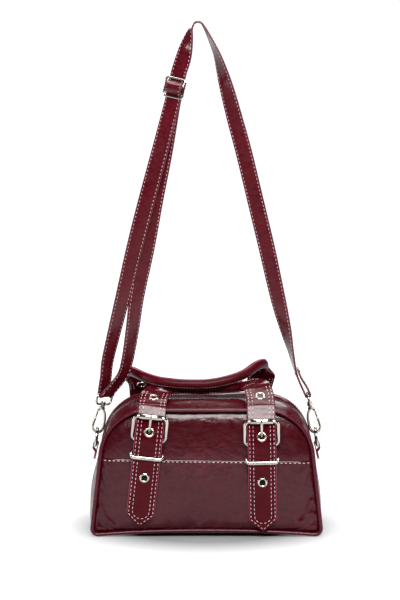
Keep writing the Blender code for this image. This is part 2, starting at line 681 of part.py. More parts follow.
def refined(route, widths, longest):
    """The same route with points read from a smooth curve wherever two lie far apart."""
    points, across = [route[0]], [widths[0]]
    for i in range(1, len(route)):
        before, after = max(i - 2, 0), min(i + 1, len(route) - 1)
        steps = int((route[i] - route[i - 1]).length / longest) + 1
        for step in range(1, steps + 1):
            t = step / steps
            for found, values in ((points, route), (across, widths)):
                a, b, c, d = values[before], values[i - 1], values[i], values[after]
                found.append(0.5 * (2 * b + (c - a) * t + (2 * a - 5 * b + 4 * c - d) * t ** 2
                                    + (3 * b - a - 3 * c + d) * t ** 3))
    return points, across


def strap_slider():
    """A three-bar slider."""
    normal = SLIDER_ACROSS.cross(SLIDER_UP).normalized()
    loop = [SLIDER_AT + SLIDER_ACROSS * a + SLIDER_UP * b
            for a, b in rounded_loop(11.2 * MM, 10.0 * MM, 2.6 * MM)]
    ring = tube(loop, 1.2 * MM, normal, loop=True)
    bar = tube([SLIDER_AT + SLIDER_ACROSS * a * MM for a in (-11, 11)], 1.1 * MM, normal)
    place("strap_slider", joined(ring, bar, "UNION"), "metal", SLIDER_AT)


def main():
    clear()
    body_shell()
    lining()
    zipper_pull(zipper_slider())
    buckle_set("front_left", -57.0 * MM, radians(6.2), 0.0, 0.0)
    buckle_set("front_right", 57.0 * MM, radians(-1.2), 4.5 * MM, 0.0)
    buckle_set("rear_left", 70.0 * MM, radians(1.8), 0.0, pi)
    buckle_set("rear_right", -57.0 * MM, radians(0.9), 0.0, pi)
    handle("front", (
        (-57, -50, 143.4), (-55.5, -43, 148), (-53, -30, 150.6), (-49.5, -18, 150.8), (-41, -8.5, 150.4),
        (-25, -4.2, 150.4), (0, -4, 150.3), (26, -5, 151.6), (40, -10, 154.3), (48.5, -20, 157.6),
        (53, -32, 157.2), (56, -43, 151), (57, -50, 143.4)), -1)
    handle("rear", (
        (-70, 50, 143.6), (-71.5, 45, 149.5), (-79, 36, 160.5), (-79, 20, 165.5), (-67, 0, 163.2),
        (-53, -11, 160.4), (-40, -15, 158.9), (-25, -16.8, 157.8), (0, -17, 157.9), (22, -14, 161.4), (40, -6, 166.6),
        (54, 8, 173.8), (62, 22, 173), (60, 38, 157), (57, 50, 143.4)), 1)
    left = side_hardware("left", -1, radians(-40))
    right = side_hardware("right", 1, 0.0)
    shoulder_strap(left, right)
    strap_slider()


main()
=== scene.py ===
"""Looks for the small glossy leather handbag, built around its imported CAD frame.

The front of the bag faces -Y, +X is to the right seen from the front, and +Z is up.
"""
from math import cos, dist, exp, pi, radians, sin, sqrt

import bmesh
import bpy
import numpy as np
from mathutils import Matrix, Vector, noise
from mathutils.bvhtree import BVHTree


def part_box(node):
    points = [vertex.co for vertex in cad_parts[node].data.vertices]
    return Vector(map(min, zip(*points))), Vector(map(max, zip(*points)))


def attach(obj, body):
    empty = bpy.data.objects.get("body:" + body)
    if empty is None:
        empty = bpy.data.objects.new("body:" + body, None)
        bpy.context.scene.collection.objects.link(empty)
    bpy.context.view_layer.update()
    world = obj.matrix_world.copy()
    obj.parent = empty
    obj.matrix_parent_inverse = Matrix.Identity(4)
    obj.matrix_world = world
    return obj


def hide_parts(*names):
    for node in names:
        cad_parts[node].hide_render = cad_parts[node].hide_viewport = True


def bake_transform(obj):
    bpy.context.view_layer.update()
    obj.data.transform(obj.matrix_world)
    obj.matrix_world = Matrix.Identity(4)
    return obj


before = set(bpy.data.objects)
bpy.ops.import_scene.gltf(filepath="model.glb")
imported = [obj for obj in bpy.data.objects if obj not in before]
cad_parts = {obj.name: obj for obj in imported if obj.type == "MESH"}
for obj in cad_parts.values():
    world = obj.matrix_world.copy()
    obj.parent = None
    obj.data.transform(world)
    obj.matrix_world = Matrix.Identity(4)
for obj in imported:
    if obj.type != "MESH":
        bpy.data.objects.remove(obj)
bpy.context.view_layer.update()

MM = 0.001
GAP = 0.4 * MM
RIGHT, FRONT, BACK, UP = Vector((1, 0, 0)), Vector((0, -1, 0)), Vector((0, 1, 0)), Vector((0, 0, 1))
FACES = (("front", -1), ("rear", 1))

# The part's own sizes, as its source gives them. BELT_SEAMS are the stitch lines' distances in
# from a belt's edge, and BELT_SEWING is a stitch's pitch and its length.
HALF_BASE = 123.0 * MM
LEAN_IN = radians(6.4)
CORNER_RADIUS = 9.0 * MM
SHOULDER_RADIUS = 54.0 * MM
BODY_HEIGHT = 138.0 * MM
HALF_DEPTH = 54.0 * MM
PANEL_DOME = 3.5 * MM
PIPING_RADIUS = 2.1 * MM
PIPING_INSET = PIPING_RADIUS + 0.4 * MM
SEAM_HEIGHT = 81.0 * MM
GUSSET_BULGE = {"left": 7.0 * MM, "right": 4.6 * MM}
GUSSET_TOP = 97.0 * MM
BULGE_Z = 42.0 * MM
BULGE_REACH = 46.0 * MM
SHELL_INSET = 1.0 * MM
TAPE_DROP = 0.9 * MM
TOP_CROWN = 2.6 * MM
PUFF = 4.3 * MM
PUFF_FROM = 111.0 * MM
CROWN_RISE = 25.0 * MM
ZIP_HALF = 12.0 * MM
TAPE = 0.8 * MM
TOOTH = 1.6 * MM
TEETH_END = 113.0 * MM
ZIP_START_X = -56.0 * MM
ZIP_Z = BODY_HEIGHT - SHELL_INSET + TOP_CROWN - TAPE_DROP - TAPE / 2
BELT_WIDTH = 30.0 * MM
BELT = 2.2 * MM
BELT_POINT = 13.0 * MM
BELT_SEAMS = (2.3 * MM, 6.0 * MM)
BELT_SEWING = (4.3 * MM, 2.8 * MM)
BELT_FACE = HALF_DEPTH + PANEL_DOME + GAP
HINGE_Z = 142.6 * MM
HINGE_Y = 51.5 * MM
WIRE = 1.6 * MM
FRAME_HALF = 17.6 * MM
LOWER_BAR_Z = 104.0 * MM
LOWER_BAR_Y = BELT_FACE + 3.8 * MM
ROLLER_Z = 130.0 * MM
ROLLER_Y = BELT_FACE + 8.1 * MM
ROLLER_RADIUS = 3.0 * MM
ROLLER_HALF = 12.2 * MM
KEEPER_Z = 85.0 * MM
EYELET_Z = 113.6 * MM
EYELET_GAP = 49.2 * MM
PRONG_WIRE = 0.9 * MM
GRIP_RADIUS = 5.3 * MM
RING_BAR = {"left": Vector((-119.2, 0.0, 90.0)) * MM,
            "right": Vector((119.0, 0.0, 90.0)) * MM}
TAB_LEAN = radians(13.5)
RING_LEAN = radians(6.0)
RING_HALF = 10.5 * MM
RING_STRAIGHT = 7.0 * MM
HOOK_LEAN = radians(13.0)
HOOK_WIRE = 1.5 * MM
RING_PLAY = 1.3 * MM
EYE_WIRE = 1.3 * MM
EYE_HALF = Vector((11.8, 5.75)) * MM
STRAP_WIDTH = 18.0 * MM
STRAP = 2.0 * MM


# ---------------------------------------------------------------- camera and light
def linked(name, data):
    made = bpy.data.objects.new(name, data)
    bpy.context.scene.collection.objects.link(made)
    return made


def look_at(thing, place, target):
    thing.location = place
    thing.rotation_euler = (Vector(target) - Vector(place)).to_track_quat("-Z", "Y").to_euler()


def camera():
    data = bpy.data.cameras.new("camera")
    data.sensor_width = 36
    data.sensor_fit = "AUTO"
    data.lens = 129
    data.clip_start = 0.05
    seen = linked("camera", data)
    dip, away, target = radians(6.5), 2.3, Vector((-0.007, 0.0, 0.246))
    look_at(seen, target + Vector((0, -cos(dip), sin(dip))) * away, target)
    bpy.context.scene.camera = seen


def softbox(name, place, target, size, power):
    data = bpy.data.lights.new(name, "AREA")
    data.shape = "RECTANGLE"
    data.size, data.size_y = size
    data.energy = power
    look_at(linked(name, data), place, target)


def studio():
    for name, place, target, size, power in (
            ("key_box", (0.1, -1.25, 1.12), (0, 0, 0.12), (1.2, 0.56), 43),
            ("top_box", (0.0, 0.15, 1.3), (0, 0, 0.1), (0.9, 0.5), 10),
            ("left_box", (-1.2, -0.1, 0.42), (0, 0, 0.1), (0.22, 0.7), 6),
            ("right_box", (1.2, 0.0, 0.45), (0, 0, 0.1), (0.22, 0.7), 6),
            ("rear_box", (0.1, 1.4, 0.8), (0, 0, 0.15), (1.0, 0.4), 8)):
        softbox(name, place, target, size, power)
    world = bpy.data.worlds.new("studio")
    bpy.context.scene.world = world
    world.use_nodes = True
    tree = world.node_tree
    tree.nodes.clear()
    seen = node(tree, "LightPath").outputs["Is Camera Ray"]
    white = node(tree, "Background", {"Color": (1, 1, 1, 1), "Strength": 1.1}).outputs[0]
    grey = node(tree, "Background", {"Color": (0.95, 0.97, 1, 1), "Strength": 0.07}).outputs[0]
    mixed = node(tree, "MixShader", {0: seen, 1: grey, 2: white}).outputs[0]
    node(tree, "OutputWorld", {"Surface": mixed})
    bpy.context.scene.view_settings.view_transform = "Standard"


def floor_sheet():
    """A pale floor that glows, though it is no lamp. Near the bag its glow fades out as a painted shadow, and
    in front of the bag the glow is dimmer, so the leather reflects a darker floor.
    """
    bm = bmesh.new()
    bmesh.ops.create_grid(bm, x_segments=8, y_segments=8, size=4)
    mesh = bpy.data.meshes.new("floor")
    bm.to_mesh(mesh)
    bm.free()
    sheet = linked("floor", mesh)
    made, tree, shader = shader_for("floor_glow_painted_shadow")
    where = places(tree, (1.14, 1.25, 1.0))
    away = node(tree, "VectorMath", {0: where}, operation="LENGTH").outputs["Value"]
    depth = node(tree, "SeparateXYZ", {0: where}).outputs["Y"]
    # Painted shadow: the glow is nil close to the bag and rises further out. It is lower in front of the bag,
    # which paints a darker reflection into the leather.
    near = maths(tree, "MULTIPLY", spread(tree, away, 0.10, 0.20, 0.0, 0.85),
                 spread(tree, depth, -0.69, -0.43, 0.24, 1.0))
    far = maths(tree, "MULTIPLY", spread(tree, away, 0.9, 1.8, 0.0, 0.3),
                spread(tree, depth, -0.1, 0.4, 0.3, 1.0))
    feed(tree, shader, {"Base Color": (0.26, 0.26, 0.265, 1), "Roughness": 0.8, "Specular IOR Level": 0.1,
                        "Emission Color": (1, 1, 1, 1), "Emission Strength": maths(tree, "ADD", near, far)})
    mesh.materials.append(made)


# ---------------------------------------------------------------- materials
MADE = {}


def shader_for(name):
    made = bpy.data.materials.new(name)
    made.use_nodes = True
    MADE[name] = made
    tree = made.node_tree
    return made, tree, tree.nodes["Principled BSDF"]


def feed(tree, made, inputs):
    """Sets each of a node's inputs to a constant, or links it to a socket."""
    for key, value in inputs.items():
        if isinstance(value, bpy.types.NodeSocket):
            tree.links.new(value, made.inputs[key])
        else:
            made.inputs[key].default_value = value


def node(tree, kind, inputs=None, **settings):
    made = tree.nodes.new("ShaderNode" + kind)
    for key, value in settings.items():
        setattr(made, key, value)
    feed(tree, made, inputs or {})
    return made


def maths(tree, operation, *values):
    return node(tree, "Math", dict(enumerate(values)), operation=operation).outputs[0]


def places(tree, stretch=(1, 1, 1)):
    """Positions on the object in metres, stretched by a factor each way."""
    coord = node(tree, "TexCoord")
    return node(tree, "Mapping", {"Vector": coord.outputs["Object"], "Scale": stretch}).outputs[0]


def speckle(tree, where, scale, detail=3.0, rough=0.5):
    return node(tree, "TexNoise", {"Vector": where, "Scale": scale, "Detail": detail,
                                   "Roughness": rough}).outputs[0]


def spread(tree, value, low, high, to_low, to_high):
    return node(tree, "MapRange", {"Value": value, "From Min": low, "From Max": high,
                                   "To Min": to_low, "To Max": to_high}).outputs[0]


def colours(tree, value, stops):
    ramp = node(tree, "ValToRGB", {"Fac": value})
    points = ramp.color_ramp.elements
    while len(points) < len(stops):
        points.new(0.5)
    for point, (at, colour) in zip(points, stops):
        point.position, point.color = at, (*colour, 1)
    return ramp.outputs[0]


def relief(tree, shader, heights):
    """Bumps stacked one over another, as (height, strength, depth in metres)."""
    normal = None
    for height, strength, depth in heights:
        inputs = {"Height": height, "Strength": strength, "Distance": depth}
        if normal is not None:
            inputs["Normal"] = normal
        normal = node(tree, "Bump", inputs).outputs[0]
    feed(tree, shader, {"Normal": normal})


def leather(name, dark, light, rough, crinkle, coat, gloss=0.24):
    """Glossy finished leather: cloudy colour, soft unevenness, a net of fine creases, and a fan of
    larger ones that is strongest in the middle of the upper panel. The creases are painted paler, a painted
    highlight standing in for light caught along them."""
    _, tree, shader = shader_for(name)
    where = places(tree)
    sway = node(tree, "TexNoise", {"Vector": where, "Scale": 60.0, "Detail": 2.0}).outputs["Color"]
    sway = node(tree, "VectorMath", {0: sway, 1: (0.006, 0.006, 0.006)}, operation="MULTIPLY").outputs[0]
    drift = node(tree, "VectorMath", {0: where, 1: sway}, operation="ADD").outputs[0]

    cells = node(tree, "TexVoronoi", {"Vector": drift, "Scale": 300.0},
                 feature="DISTANCE_TO_EDGE").outputs["Distance"]
    net = maths(tree, "SUBTRACT", 1.0, spread(tree, cells, 0.0, 0.16, 0.0, 1.0))
    patch = spread(tree, speckle(tree, where, 38.0, 2.0), 0.42, 0.62, 0.15, 1.0)
    net = maths(tree, "MULTIPLY", net, patch)

    lines = []
    for turn in (0.55, -0.5):
        way = node(tree, "Mapping", {"Vector": drift, "Rotation": (0, turn, 0),
                                     "Scale": (0.35, 0.35, 1.0)}).outputs[0]
        lines.append(maths(tree, "COMPARE", speckle(tree, way, 190.0, 1.5), 0.5, 0.035))
    middle = node(tree, "Mapping", {"Vector": where, "Location": (0.0, 0.0, -0.109),
                                    "Scale": (0.55, 0.0, 1.35)}).outputs[0]
    apart = node(tree, "VectorMath", {0: middle}, operation="LENGTH").outputs["Value"]
    fan = maths(tree, "MULTIPLY", maths(tree, "MAXIMUM", *lines), spread(tree, apart, 0.008, 0.036, 1.0, 0.3))

    colour = colours(tree, speckle(tree, where, 26.0, 4.0, 0.6), ((0.3, dark), (0.7, light)))
    # Painted highlight: each set of creases is mixed towards a paler, pinker colour, as if light caught along
    # them.
    for creases, share, crease_highlight_lift in ((net, 0.08, (1.5, 2.2, 1.8)), (fan, 0.3, (2.6, 12, 5))):
        pale = [c * p for c, p in zip(light, crease_highlight_lift)]
        colour = node(tree, "Mix", {"Factor": maths(tree, "MULTIPLY", creases, share), "A": colour,
                                    "B": (*pale, 1)}, data_type="RGBA").outputs["Result"]
    feed(tree, shader, {
        "Base Color": colour, "Specular IOR Level": gloss, "Coat Weight": coat, "Coat Roughness": 0.09,
        "Roughness": spread(tree, speckle(tree, where, 120.0, 4.0), 0.3, 0.7, *rough)})
    relief(tree, shader, ((speckle(tree, drift, 85.0, 3.0, 0.55), 0.6, 0.0012),
                          (speckle(tree, drift, 230.0, 3.0, 0.6), 0.45, 0.0004),
                          (fan, -1.0, 0.0008), (net, -crinkle, 0.00024),
                          (speckle(tree, where, 1500.0, 2.0), 0.12, 0.00006)))


def paint_edge(name, dark, light):
    _, tree, shader = shader_for(name)
    where = places(tree)
    feed(tree, shader, {
        "Base Color": colours(tree, speckle(tree, where, 240.0, 4.0, 0.65), ((0.3, dark), (0.7, light))),
        "Roughness": spread(tree, speckle(tree, where, 500.0), 0.3, 0.7, 0.28, 0.5)})
    relief(tree, shader, ((speckle(tree, where, 420.0), 0.35, 0.0003),))


def thread(name, dark, light):
    _, tree, shader = shader_for(name)
    where = places(tree)
    twist = node(tree, "TexWave", {"Vector": where, "Scale": 900.0, "Distortion": 1.2}).outputs[1]
    feed(tree, shader, {
        "Base Color": colours(tree, speckle(tree, where, 300.0, 3.0), ((0.3, dark), (0.7, light))),
        "Roughness": 0.62, "Sheen Weight": 0.35})
    relief(tree, shader, ((twist, 0.5, 0.0001),))


def metal(name, dark, light, rough):
    """Plated metal with faint scuffs and slightly uneven polish."""
    _, tree, shader = shader_for(name)
    scuffs = speckle(tree, places(tree, (1.0, 1.0, 9.0)), 420.0, 5.0, 0.7)
    feed(tree, shader, {
        "Base Color": colours(tree, speckle(tree, places(tree), 70.0, 4.0), ((0.3, dark), (0.7, light))),
        "Metallic": 1.0, "Roughness": spread(tree, scuffs, 0.35, 0.75, *rough)})
    relief(tree, shader, ((scuffs, 0.12, 0.00008),))


def woven(name, dark, light, scale):
    """Two crossed sets of threads."""
    _, tree, shader = shader_for(name)
    where = places(tree)
    warp, weft = (node(tree, "TexWave", {"Vector": where, "Scale": scale, "Distortion": 0.6},
                       bands_direction=way).outputs[1] for way in ("X", "DIAGONAL"))
    cross = maths(tree, "MULTIPLY", warp, weft)
    feed(tree, shader, {"Base Color": colours(tree, cross, ((0.0, dark), (0.6, light))),
                        "Roughness": 0.85, "Sheen Weight": 0.04, "Specular IOR Level": 0.15})
    relief(tree, shader, ((cross, 0.6, 0.0003), (speckle(tree, where, 700.0), 0.2, 0.0003)))


def materials():
    leather("panel_leather", (0.029, 0.0008, 0.0030), (0.044, 0.0015, 0.0047), (0.15, 0.27), 0.35, 0.13)
    leather("side_leather", (0.036, 0.0010, 0.0036), (0.052, 0.0018, 0.0056), (0.24, 0.38), 0.35, 0.05, 0.12)
    leather("belt_leather", (0.042, 0.0005, 0.0027), (0.060, 0.0011, 0.0046), (0.14, 0.24), 0.3, 0.12, 0.22)
    # The belt points' leather is a darker, less glossy copy of belt_leather. Its darker colour is painted
    # shade.
    leather("point_leather_painted_shade", (0.036, 0.0004, 0.0024), (0.050, 0.0008, 0.0038), (0.14, 0.24), 0.3, 0.04, 0.07)
    # The grip's leather is a darker, rougher copy of belt_leather. Its darker colour is painted shade.
    leather("grip_leather_painted_shade", (0.034, 0.0005, 0.0026), (0.050, 0.0010, 0.0042), (0.28, 0.40), 0.3, 0.02, 0.09)
    leather("strap_leather", (0.042, 0.0009, 0.0036), (0.062, 0.0017, 0.0058), (0.15, 0.28), 0.3, 0.15)
    leather("piping_leather", (0.038, 0.0008, 0.0045), (0.062, 0.0015, 0.009), (0.18, 0.3), 0.2, 0.13)
    paint_edge("edge_paint", (0.13, 0.004, 0.026), (0.22, 0.009, 0.05))
    paint_edge("strap_edge", (0.05, 0.003, 0.009), (0.10, 0.006, 0.02))
    thread("pale_thread", (0.44, 0.27, 0.27), (0.64, 0.47, 0.46))
    thread("wine_thread", (0.10, 0.006, 0.02), (0.17, 0.015, 0.04))
    # Near-black cloth for the insides of holes: painted shade.
    woven("painted_hole_shade", (0.004, 0.001, 0.001), (0.012, 0.002, 0.003), 400.0)
    metal("nickel", (0.42, 0.39, 0.34), (0.58, 0.55, 0.49), (0.08, 0.2))
    metal("zip_metal", (0.52, 0.50, 0.48), (0.78, 0.76, 0.73), (0.14, 0.28))
    woven("tape_weave", (0.010, 0.002, 0.003), (0.036, 0.007, 0.011), 520.0)
    woven("lining_weave", (0.02, 0.006, 0.008), (0.06, 0.02, 0.026), 330.0)
    woven("board_fibre", (0.18, 0.13, 0.09), (0.34, 0.27, 0.2), 150.0)


# ---------------------------------------------------------------- making meshes
def attached(made, body, replaced=None):
    if body:
        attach(made, body)
    if replaced:
        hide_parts(replaced)
    return made


def piece(name, mesh, body, replaced=None):
    return attached(linked(name, mesh), body, replaced)


def smoothed(mesh, sharp):
    mesh.shade_smooth()
    mesh.set_sharp_from_angle(angle=radians(sharp))
    return mesh


def built(verts, faces, finishes, kinds=None, sharp=40, recalc=True):
    """A mesh from lists, with the material number of each face in `kinds`."""
    mesh = bpy.data.meshes.new("shape")
    mesh.from_pydata([tuple(v) for v in verts], [], faces)
    if recalc:
        bm = bmesh.new()
        bm.from_mesh(mesh)
        bmesh.ops.recalc_face_normals(bm, faces=bm.faces)
        bm.to_mesh(mesh)
        bm.free()
    for finish in finishes:
        mesh.materials.append(MADE[finish])
    if kinds is not None:
        mesh.polygons.foreach_set("material_index", kinds)
    return smoothed(mesh, sharp)


def skin(rings, finishes, ring_kinds=None, loop=False, sharp=40):
    """A closed surface through rings of equally many points; `ring_kinds` gives each side's material."""
    count = len(rings[0])
    verts = [p for ring in rings for p in ring]
    faces, kinds = [], []
    for r in range(len(rings) if loop else len(rings) - 1):
        a, b = r * count, (r + 1) % len(rings) * count
        for i in range(count):
            j = (i + 1) % count
            faces.append((a + i, a + j, b + j, b + i))
            kinds.append(ring_kinds(r, i) if callable(ring_kinds) else ring_kinds[i] if ring_kinds else 0)
    if not loop:
        faces.append(tuple(reversed(range(count))))
        faces.append(tuple(range(len(verts) - count, len(verts))))
        kinds += [max(kinds)] * 2
    return built(verts, faces, finishes, kinds, sharp)


def circle(point, u, v, radius, sides, flat=1.0):
    """A ring of points round `point`; `flat` is its size along `u` as a share of its size along `v`."""
    return [point + radius * (flat * cos(a) * u + sin(a) * v)
            for a in (2 * pi * k / sides for k in range(sides))]


def smooth_route(points, per_span):
    """Points read from a Catmull-Rom curve through `points`."""
    points = [Vector(p) for p in points]
    ends = [points[0] * 2 - points[1]] + points + [points[-1] * 2 - points[-2]]
    route = []
    for a, b, c, d in zip(ends, ends[1:], ends[2:], ends[3:]):
        for step in range(per_span):
            t = step / per_span
            route.append(0.5 * (2 * b + (c - a) * t + (2 * a - 5 * b + 4 * c - d) * t ** 2
                                + (3 * b - a - 3 * c + d) * t ** 3))
    return route + [points[-1]]


def tangents(route, loop=False):
    last = len(route) - 1
    found = []
    for i in range(len(route)):
        before = route[i - 1] if loop or i else route[0]
        after = route[(i + 1) % len(route)] if loop or i < last else route[last]
        found.append((after - before).normalized())
    return found


def lengths(points):
    """How far along a line each of its points lies."""
    far = [0.0]
    for a, b in zip(points, points[1:]):
        far.append(far[-1] + dist(a, b))
    return far


def read_at(s, far, rows):
    """The row of numbers at distance `s` along a line whose rows lie at distances `far`."""
    return [float(np.interp(s, far, [row[i] for row in rows])) for i in range(len(rows[0]))]


def tube_rings(route, radius, side, sides=14, loop=False, flat=1.0):
    """Rings round a bar; `radius` may be a function of the share of its length that has passed."""
    rings = []
    for i, (point, ahead) in enumerate(zip(route, tangents(route, loop))):
        u = (side - ahead * side.dot(ahead)).normalized()
        r = radius(i / (len(route) - 1)) if callable(radius) else radius
        rings.append(circle(point, u, ahead.cross(u), r, sides, flat))
    return rings


def tube(route, radius, side, finish, sides=14, loop=False, flat=1.0):
    return skin(tube_rings(route, radius, side, sides, loop, flat), [finish], loop=loop, sharp=60)


def capped(route, radius, side, finish, sides=14, flat=1.0):
    """A bar with rounded ends."""
    aheads = tangents(route)
    ends = [pi / 2.1, pi / 3.2, pi / 7]
    points = [route[0] - aheads[0] * radius * sin(a) for a in ends] + list(route)
    points += [route[-1] + aheads[-1] * radius * sin(a) for a in reversed(ends)]
    sizes = [cos(a) for a in ends]
    sizes += [1.0] * len(route) + sizes[::-1]
    rings = []
    for point, ahead, size in zip(points, [aheads[0]] * 3 + aheads + [aheads[-1]] * 3, sizes):
        u = (side - ahead * side.dot(ahead)).normalized()
        rings.append(circle(point, u, ahead.cross(u), radius * size, sides, flat))
    return skin(rings, [finish], sharp=60)


def turned(profile, axis, centre, finish, sides=28, hollow=False, sharp=35):
    """A body of revolution from (distance along, radius) pairs; a hollow one closes on itself."""
    axis = axis.normalized()
    u = axis.orthogonal().normalized()
    rings = [circle(centre + axis * along, u, axis.cross(u), radius, sides) for along, radius in profile]
    if hollow:
        rings = [list(ring) for ring in zip(*rings)]
    return skin(rings, [finish], loop=hollow, sharp=sharp)


def merged(meshes):
    """Several meshes as one, keeping their materials."""
    whole = bpy.data.meshes.new("shape")
    bm = bmesh.new()
    finishes = []
    for mesh in meshes:
        numbers = []
        for material in mesh.materials:
            if material not in finishes:
                finishes.append(material)
            numbers.append(finishes.index(material))
        before = len(bm.faces)
        bm.from_mesh(mesh)
        bm.faces.ensure_lookup_table()
        for face in bm.faces[before:]:
            face.material_index = numbers[face.material_index]
    bm.to_mesh(whole)
    bm.free()
    for material in finishes:
        whole.materials.append(material)
    return whole


def cut(mesh, other):
    """A mesh less another, as a new mesh."""
    a, b = linked("a", mesh), linked("b", other)
    change = a.modifiers.new("change", "BOOLEAN")
    change.operation = "DIFFERENCE"
    change.object = b
    change.material_mode = "TRANSFER"
    graph = bpy.context.evaluated_depsgraph_get()
    done = bpy.data.meshes.new_from_object(a.evaluated_get(graph))
    for thing in (a, b):
        bpy.data.objects.remove(thing, do_unlink=True)
    return done


class Track:
    """A smooth line with the direction of a band's width and its outward side at each step."""

    def __init__(self, points, widths, step):
        dense = smooth_route(points, 12)
        across = smooth_route([Vector(w).normalized() for w in widths], 12)
        far = lengths(dense)
        self.length = far[-1]
        count = max(int(self.length / step), 2)
        self.at = [self.length * k / count for k in range(count + 1)]
        self.line, wide = (np.stack([np.interp(self.at, far, [p[i] for p in rows]) for i in range(3)], 1)
                           for rows in (dense, across))
        ahead = np.gradient(self.line, axis=0)
        ahead /= np.linalg.norm(ahead, axis=1)[:, None]
        wide -= ahead * np.sum(ahead * wide, 1)[:, None]
        wide /= np.linalg.norm(wide, axis=1)[:, None]
        self.wide, self.out = wide, np.cross(ahead, wide)

    def read(self, s):
        """The line's point, the width's direction and the outward side at distance `s`."""
        s = min(max(s, 0.0), self.length)
        point, wide, out = (Vector([float(np.interp(s, self.at, rows[:, i])) for i in range(3)])
                            for rows in (self.line, self.wide, self.out))
        return point, wide.normalized(), out.normalized()


def ribbon(track, half, thick, finishes, grooves=(), ripple=0.0, seed=0.0, columns=10, ends=1.0 * MM):
    """A band of leather with rounded painted edges; `half(s)` is half its width.

    `grooves` lists distances in from the edge where a stitch line presses the leather down.
    """
    full = half(track.length / 2)
    spots = {full - 0.9 * MM, -(full - 0.9 * MM)}
    for g in grooves:
        spots |= {s * (full - g + d) for s in (-1, 1) for d in (-0.8 * MM, 0.0, 0.8 * MM)}
    inner = full - (max(grooves) if grooves else 1.0 * MM) - 1.6 * MM
    spots |= {inner * (2 * c / columns - 1) for c in range(columns + 1)}
    spots = sorted(spots)
    rings = []
    for i, s in enumerate(track.at):
        h = half(s)
        point, wide, out = (Vector(rows[i]) for rows in (track.line, track.wide, track.out))
        t = thick / 2
        if ends:
            t *= min(1.0, 0.45 + 0.55 * sqrt(max(min(s, track.length - s) / ends, 0.0)))

        def lift(w):
            x = abs(w) * full / max(h, 1e-6)
            dip = sum(0.16 * MM * exp(-((x - (full - g)) / (0.55 * MM)) ** 2) for g in grooves)
            return ripple * waver(w * 90 + seed, s * 45, seed) - dip

        ws = [w * h / full for w in spots]
        rim = h - 0.25 * MM * (h / full)
        right, left = ([point + wide * (w * way) + out * (t * level * way)
                        for w, level in ((rim, 0.72), (h, 0.0), (rim, -0.72))] for way in (1, -1))
        rings.append([point + wide * w + out * (t + lift(w)) for w in ws] + right
                     + [point + wide * w - out * t for w in reversed(ws)] + left)
    across = len(spots) - 1
    return skin(rings, finishes, [0] * across + [1] * 4 + [0] * across + [1] * 4, sharp=50)


CAPSULE = [(-0.5, 0.30), (-0.42, 0.72), (-0.2, 1.0), (0.2, 1.0), (0.42, 0.72), (0.5, 0.30)]


def stitches(spans, radius, finish="pale_thread", holes=True):
    """Threads from (start, end, outward) spans, each a rounded rod that dips in at its ends."""
    verts, faces, kinds = [], [], []
    sides = 6
    turns = [2 * pi * k / sides for k in range(sides)]
    for start, end, out in spans:
        ahead = end - start
        if ahead.length < 1e-6:
            continue
        side = out.cross(ahead).normalized()
        up = ahead.cross(side).normalized()
        middle, first = (start + end) / 2, len(verts)
        for along, size in CAPSULE:
            sink = -radius * 0.9 * abs(2 * along) ** 4
            verts += [middle + ahead * along + side * (radius * size * cos(a))
                      + up * (radius * size * 0.8 * sin(a) + sink) for a in turns]
        for a in range(first, len(verts) - sides, sides):
            b = a + sides
            for k in range(sides):
                j = (k + 1) % sides
                faces.append((a + k, b + k, b + j, a + j))
                kinds.append(0)
        faces.append(tuple(first + k for k in range(sides)))
        faces.append(tuple(first + (len(CAPSULE) - 1) * sides + k for k in reversed(range(sides))))
        kinds += [0, 0]
        if not holes:
            continue
        # A dark disc at each end of a stitch is painted shade in its needle hole.
        along = ahead.normalized()
        for tip, way in ((start, -1), (end, 1)):
            base = len(verts)
            centre = tip + along * (radius * 0.7 * way)
            for level, size in ((-0.25, 1.1), (0.12, 0.75)):
                verts += [centre + up * (radius * level) + (side * cos(a) + along * sin(a)) * radius * size
                          for a in turns]
            for k in range(sides):
                j = (k + 1) % sides
                faces.append((base + k, base + j, base + sides + j, base + sides + k))
            faces.append(tuple(base + k for k in reversed(range(sides))))
            faces.append(tuple(base + sides + k for k in range(sides)))
            kinds += [1] * (sides + 2)
    return built(verts, faces, (finish, "painted_hole_shade"), kinds, sharp=80)


def sewn(line, pitch, length, surface):
    """Stitch spans along `line`, a list of flat points; surface(a, b) gives (point, outward)."""
    far = lengths(line)
    count = max(int(far[-1] / pitch), 1)
    pitch = far[-1] / count
    spans = []
    for k in range(count):
        middle = pitch * (k + 0.5)
        start, out = surface(*read_at(middle - length / 2, far, line))
        end, _ = surface(*read_at(middle + length / 2, far, line))
        spans.append((start, end, out))
    return spans


# ---------------------------------------------------------------- the bag's outline
def arcs(inset):
    """The outline's two right-hand arcs: (centre x, centre z, radius, first angle, last angle)."""
    side_at_corner = HALF_BASE - CORNER_RADIUS / cos(LEAN_IN) + 0.6 * MM
    rise = BODY_HEIGHT - SHOULDER_RADIUS - CORNER_RADIUS
    shift = ((SHOULDER_RADIUS - CORNER_RADIUS) + rise * sin(LEAN_IN)) / cos(LEAN_IN)
    return ((side_at_corner, CORNER_RADIUS, CORNER_RADIUS - inset, -pi / 2, LEAN_IN),
            (side_at_corner - shift, BODY_HEIGHT - SHOULDER_RADIUS, SHOULDER_RADIUS - inset,
             LEAN_IN, pi / 2))


def half_width(z, inset):
    (bx, bz, br, _, b1), (tx, tz, tr, t0, _) = arcs(inset)
    low, high = bz + br * sin(b1), tz + tr * sin(t0)
    if z <= low:
        return bx + sqrt(max(br ** 2 - (z - bz) ** 2, 0.0))
    if z >= high:
        return tx + sqrt(max(tr ** 2 - (z - tz) ** 2, 0.0))
    part = (z - low) / (high - low)
    return (bx + br * cos(b1)) * (1 - part) + (tx + tr * cos(t0)) * part


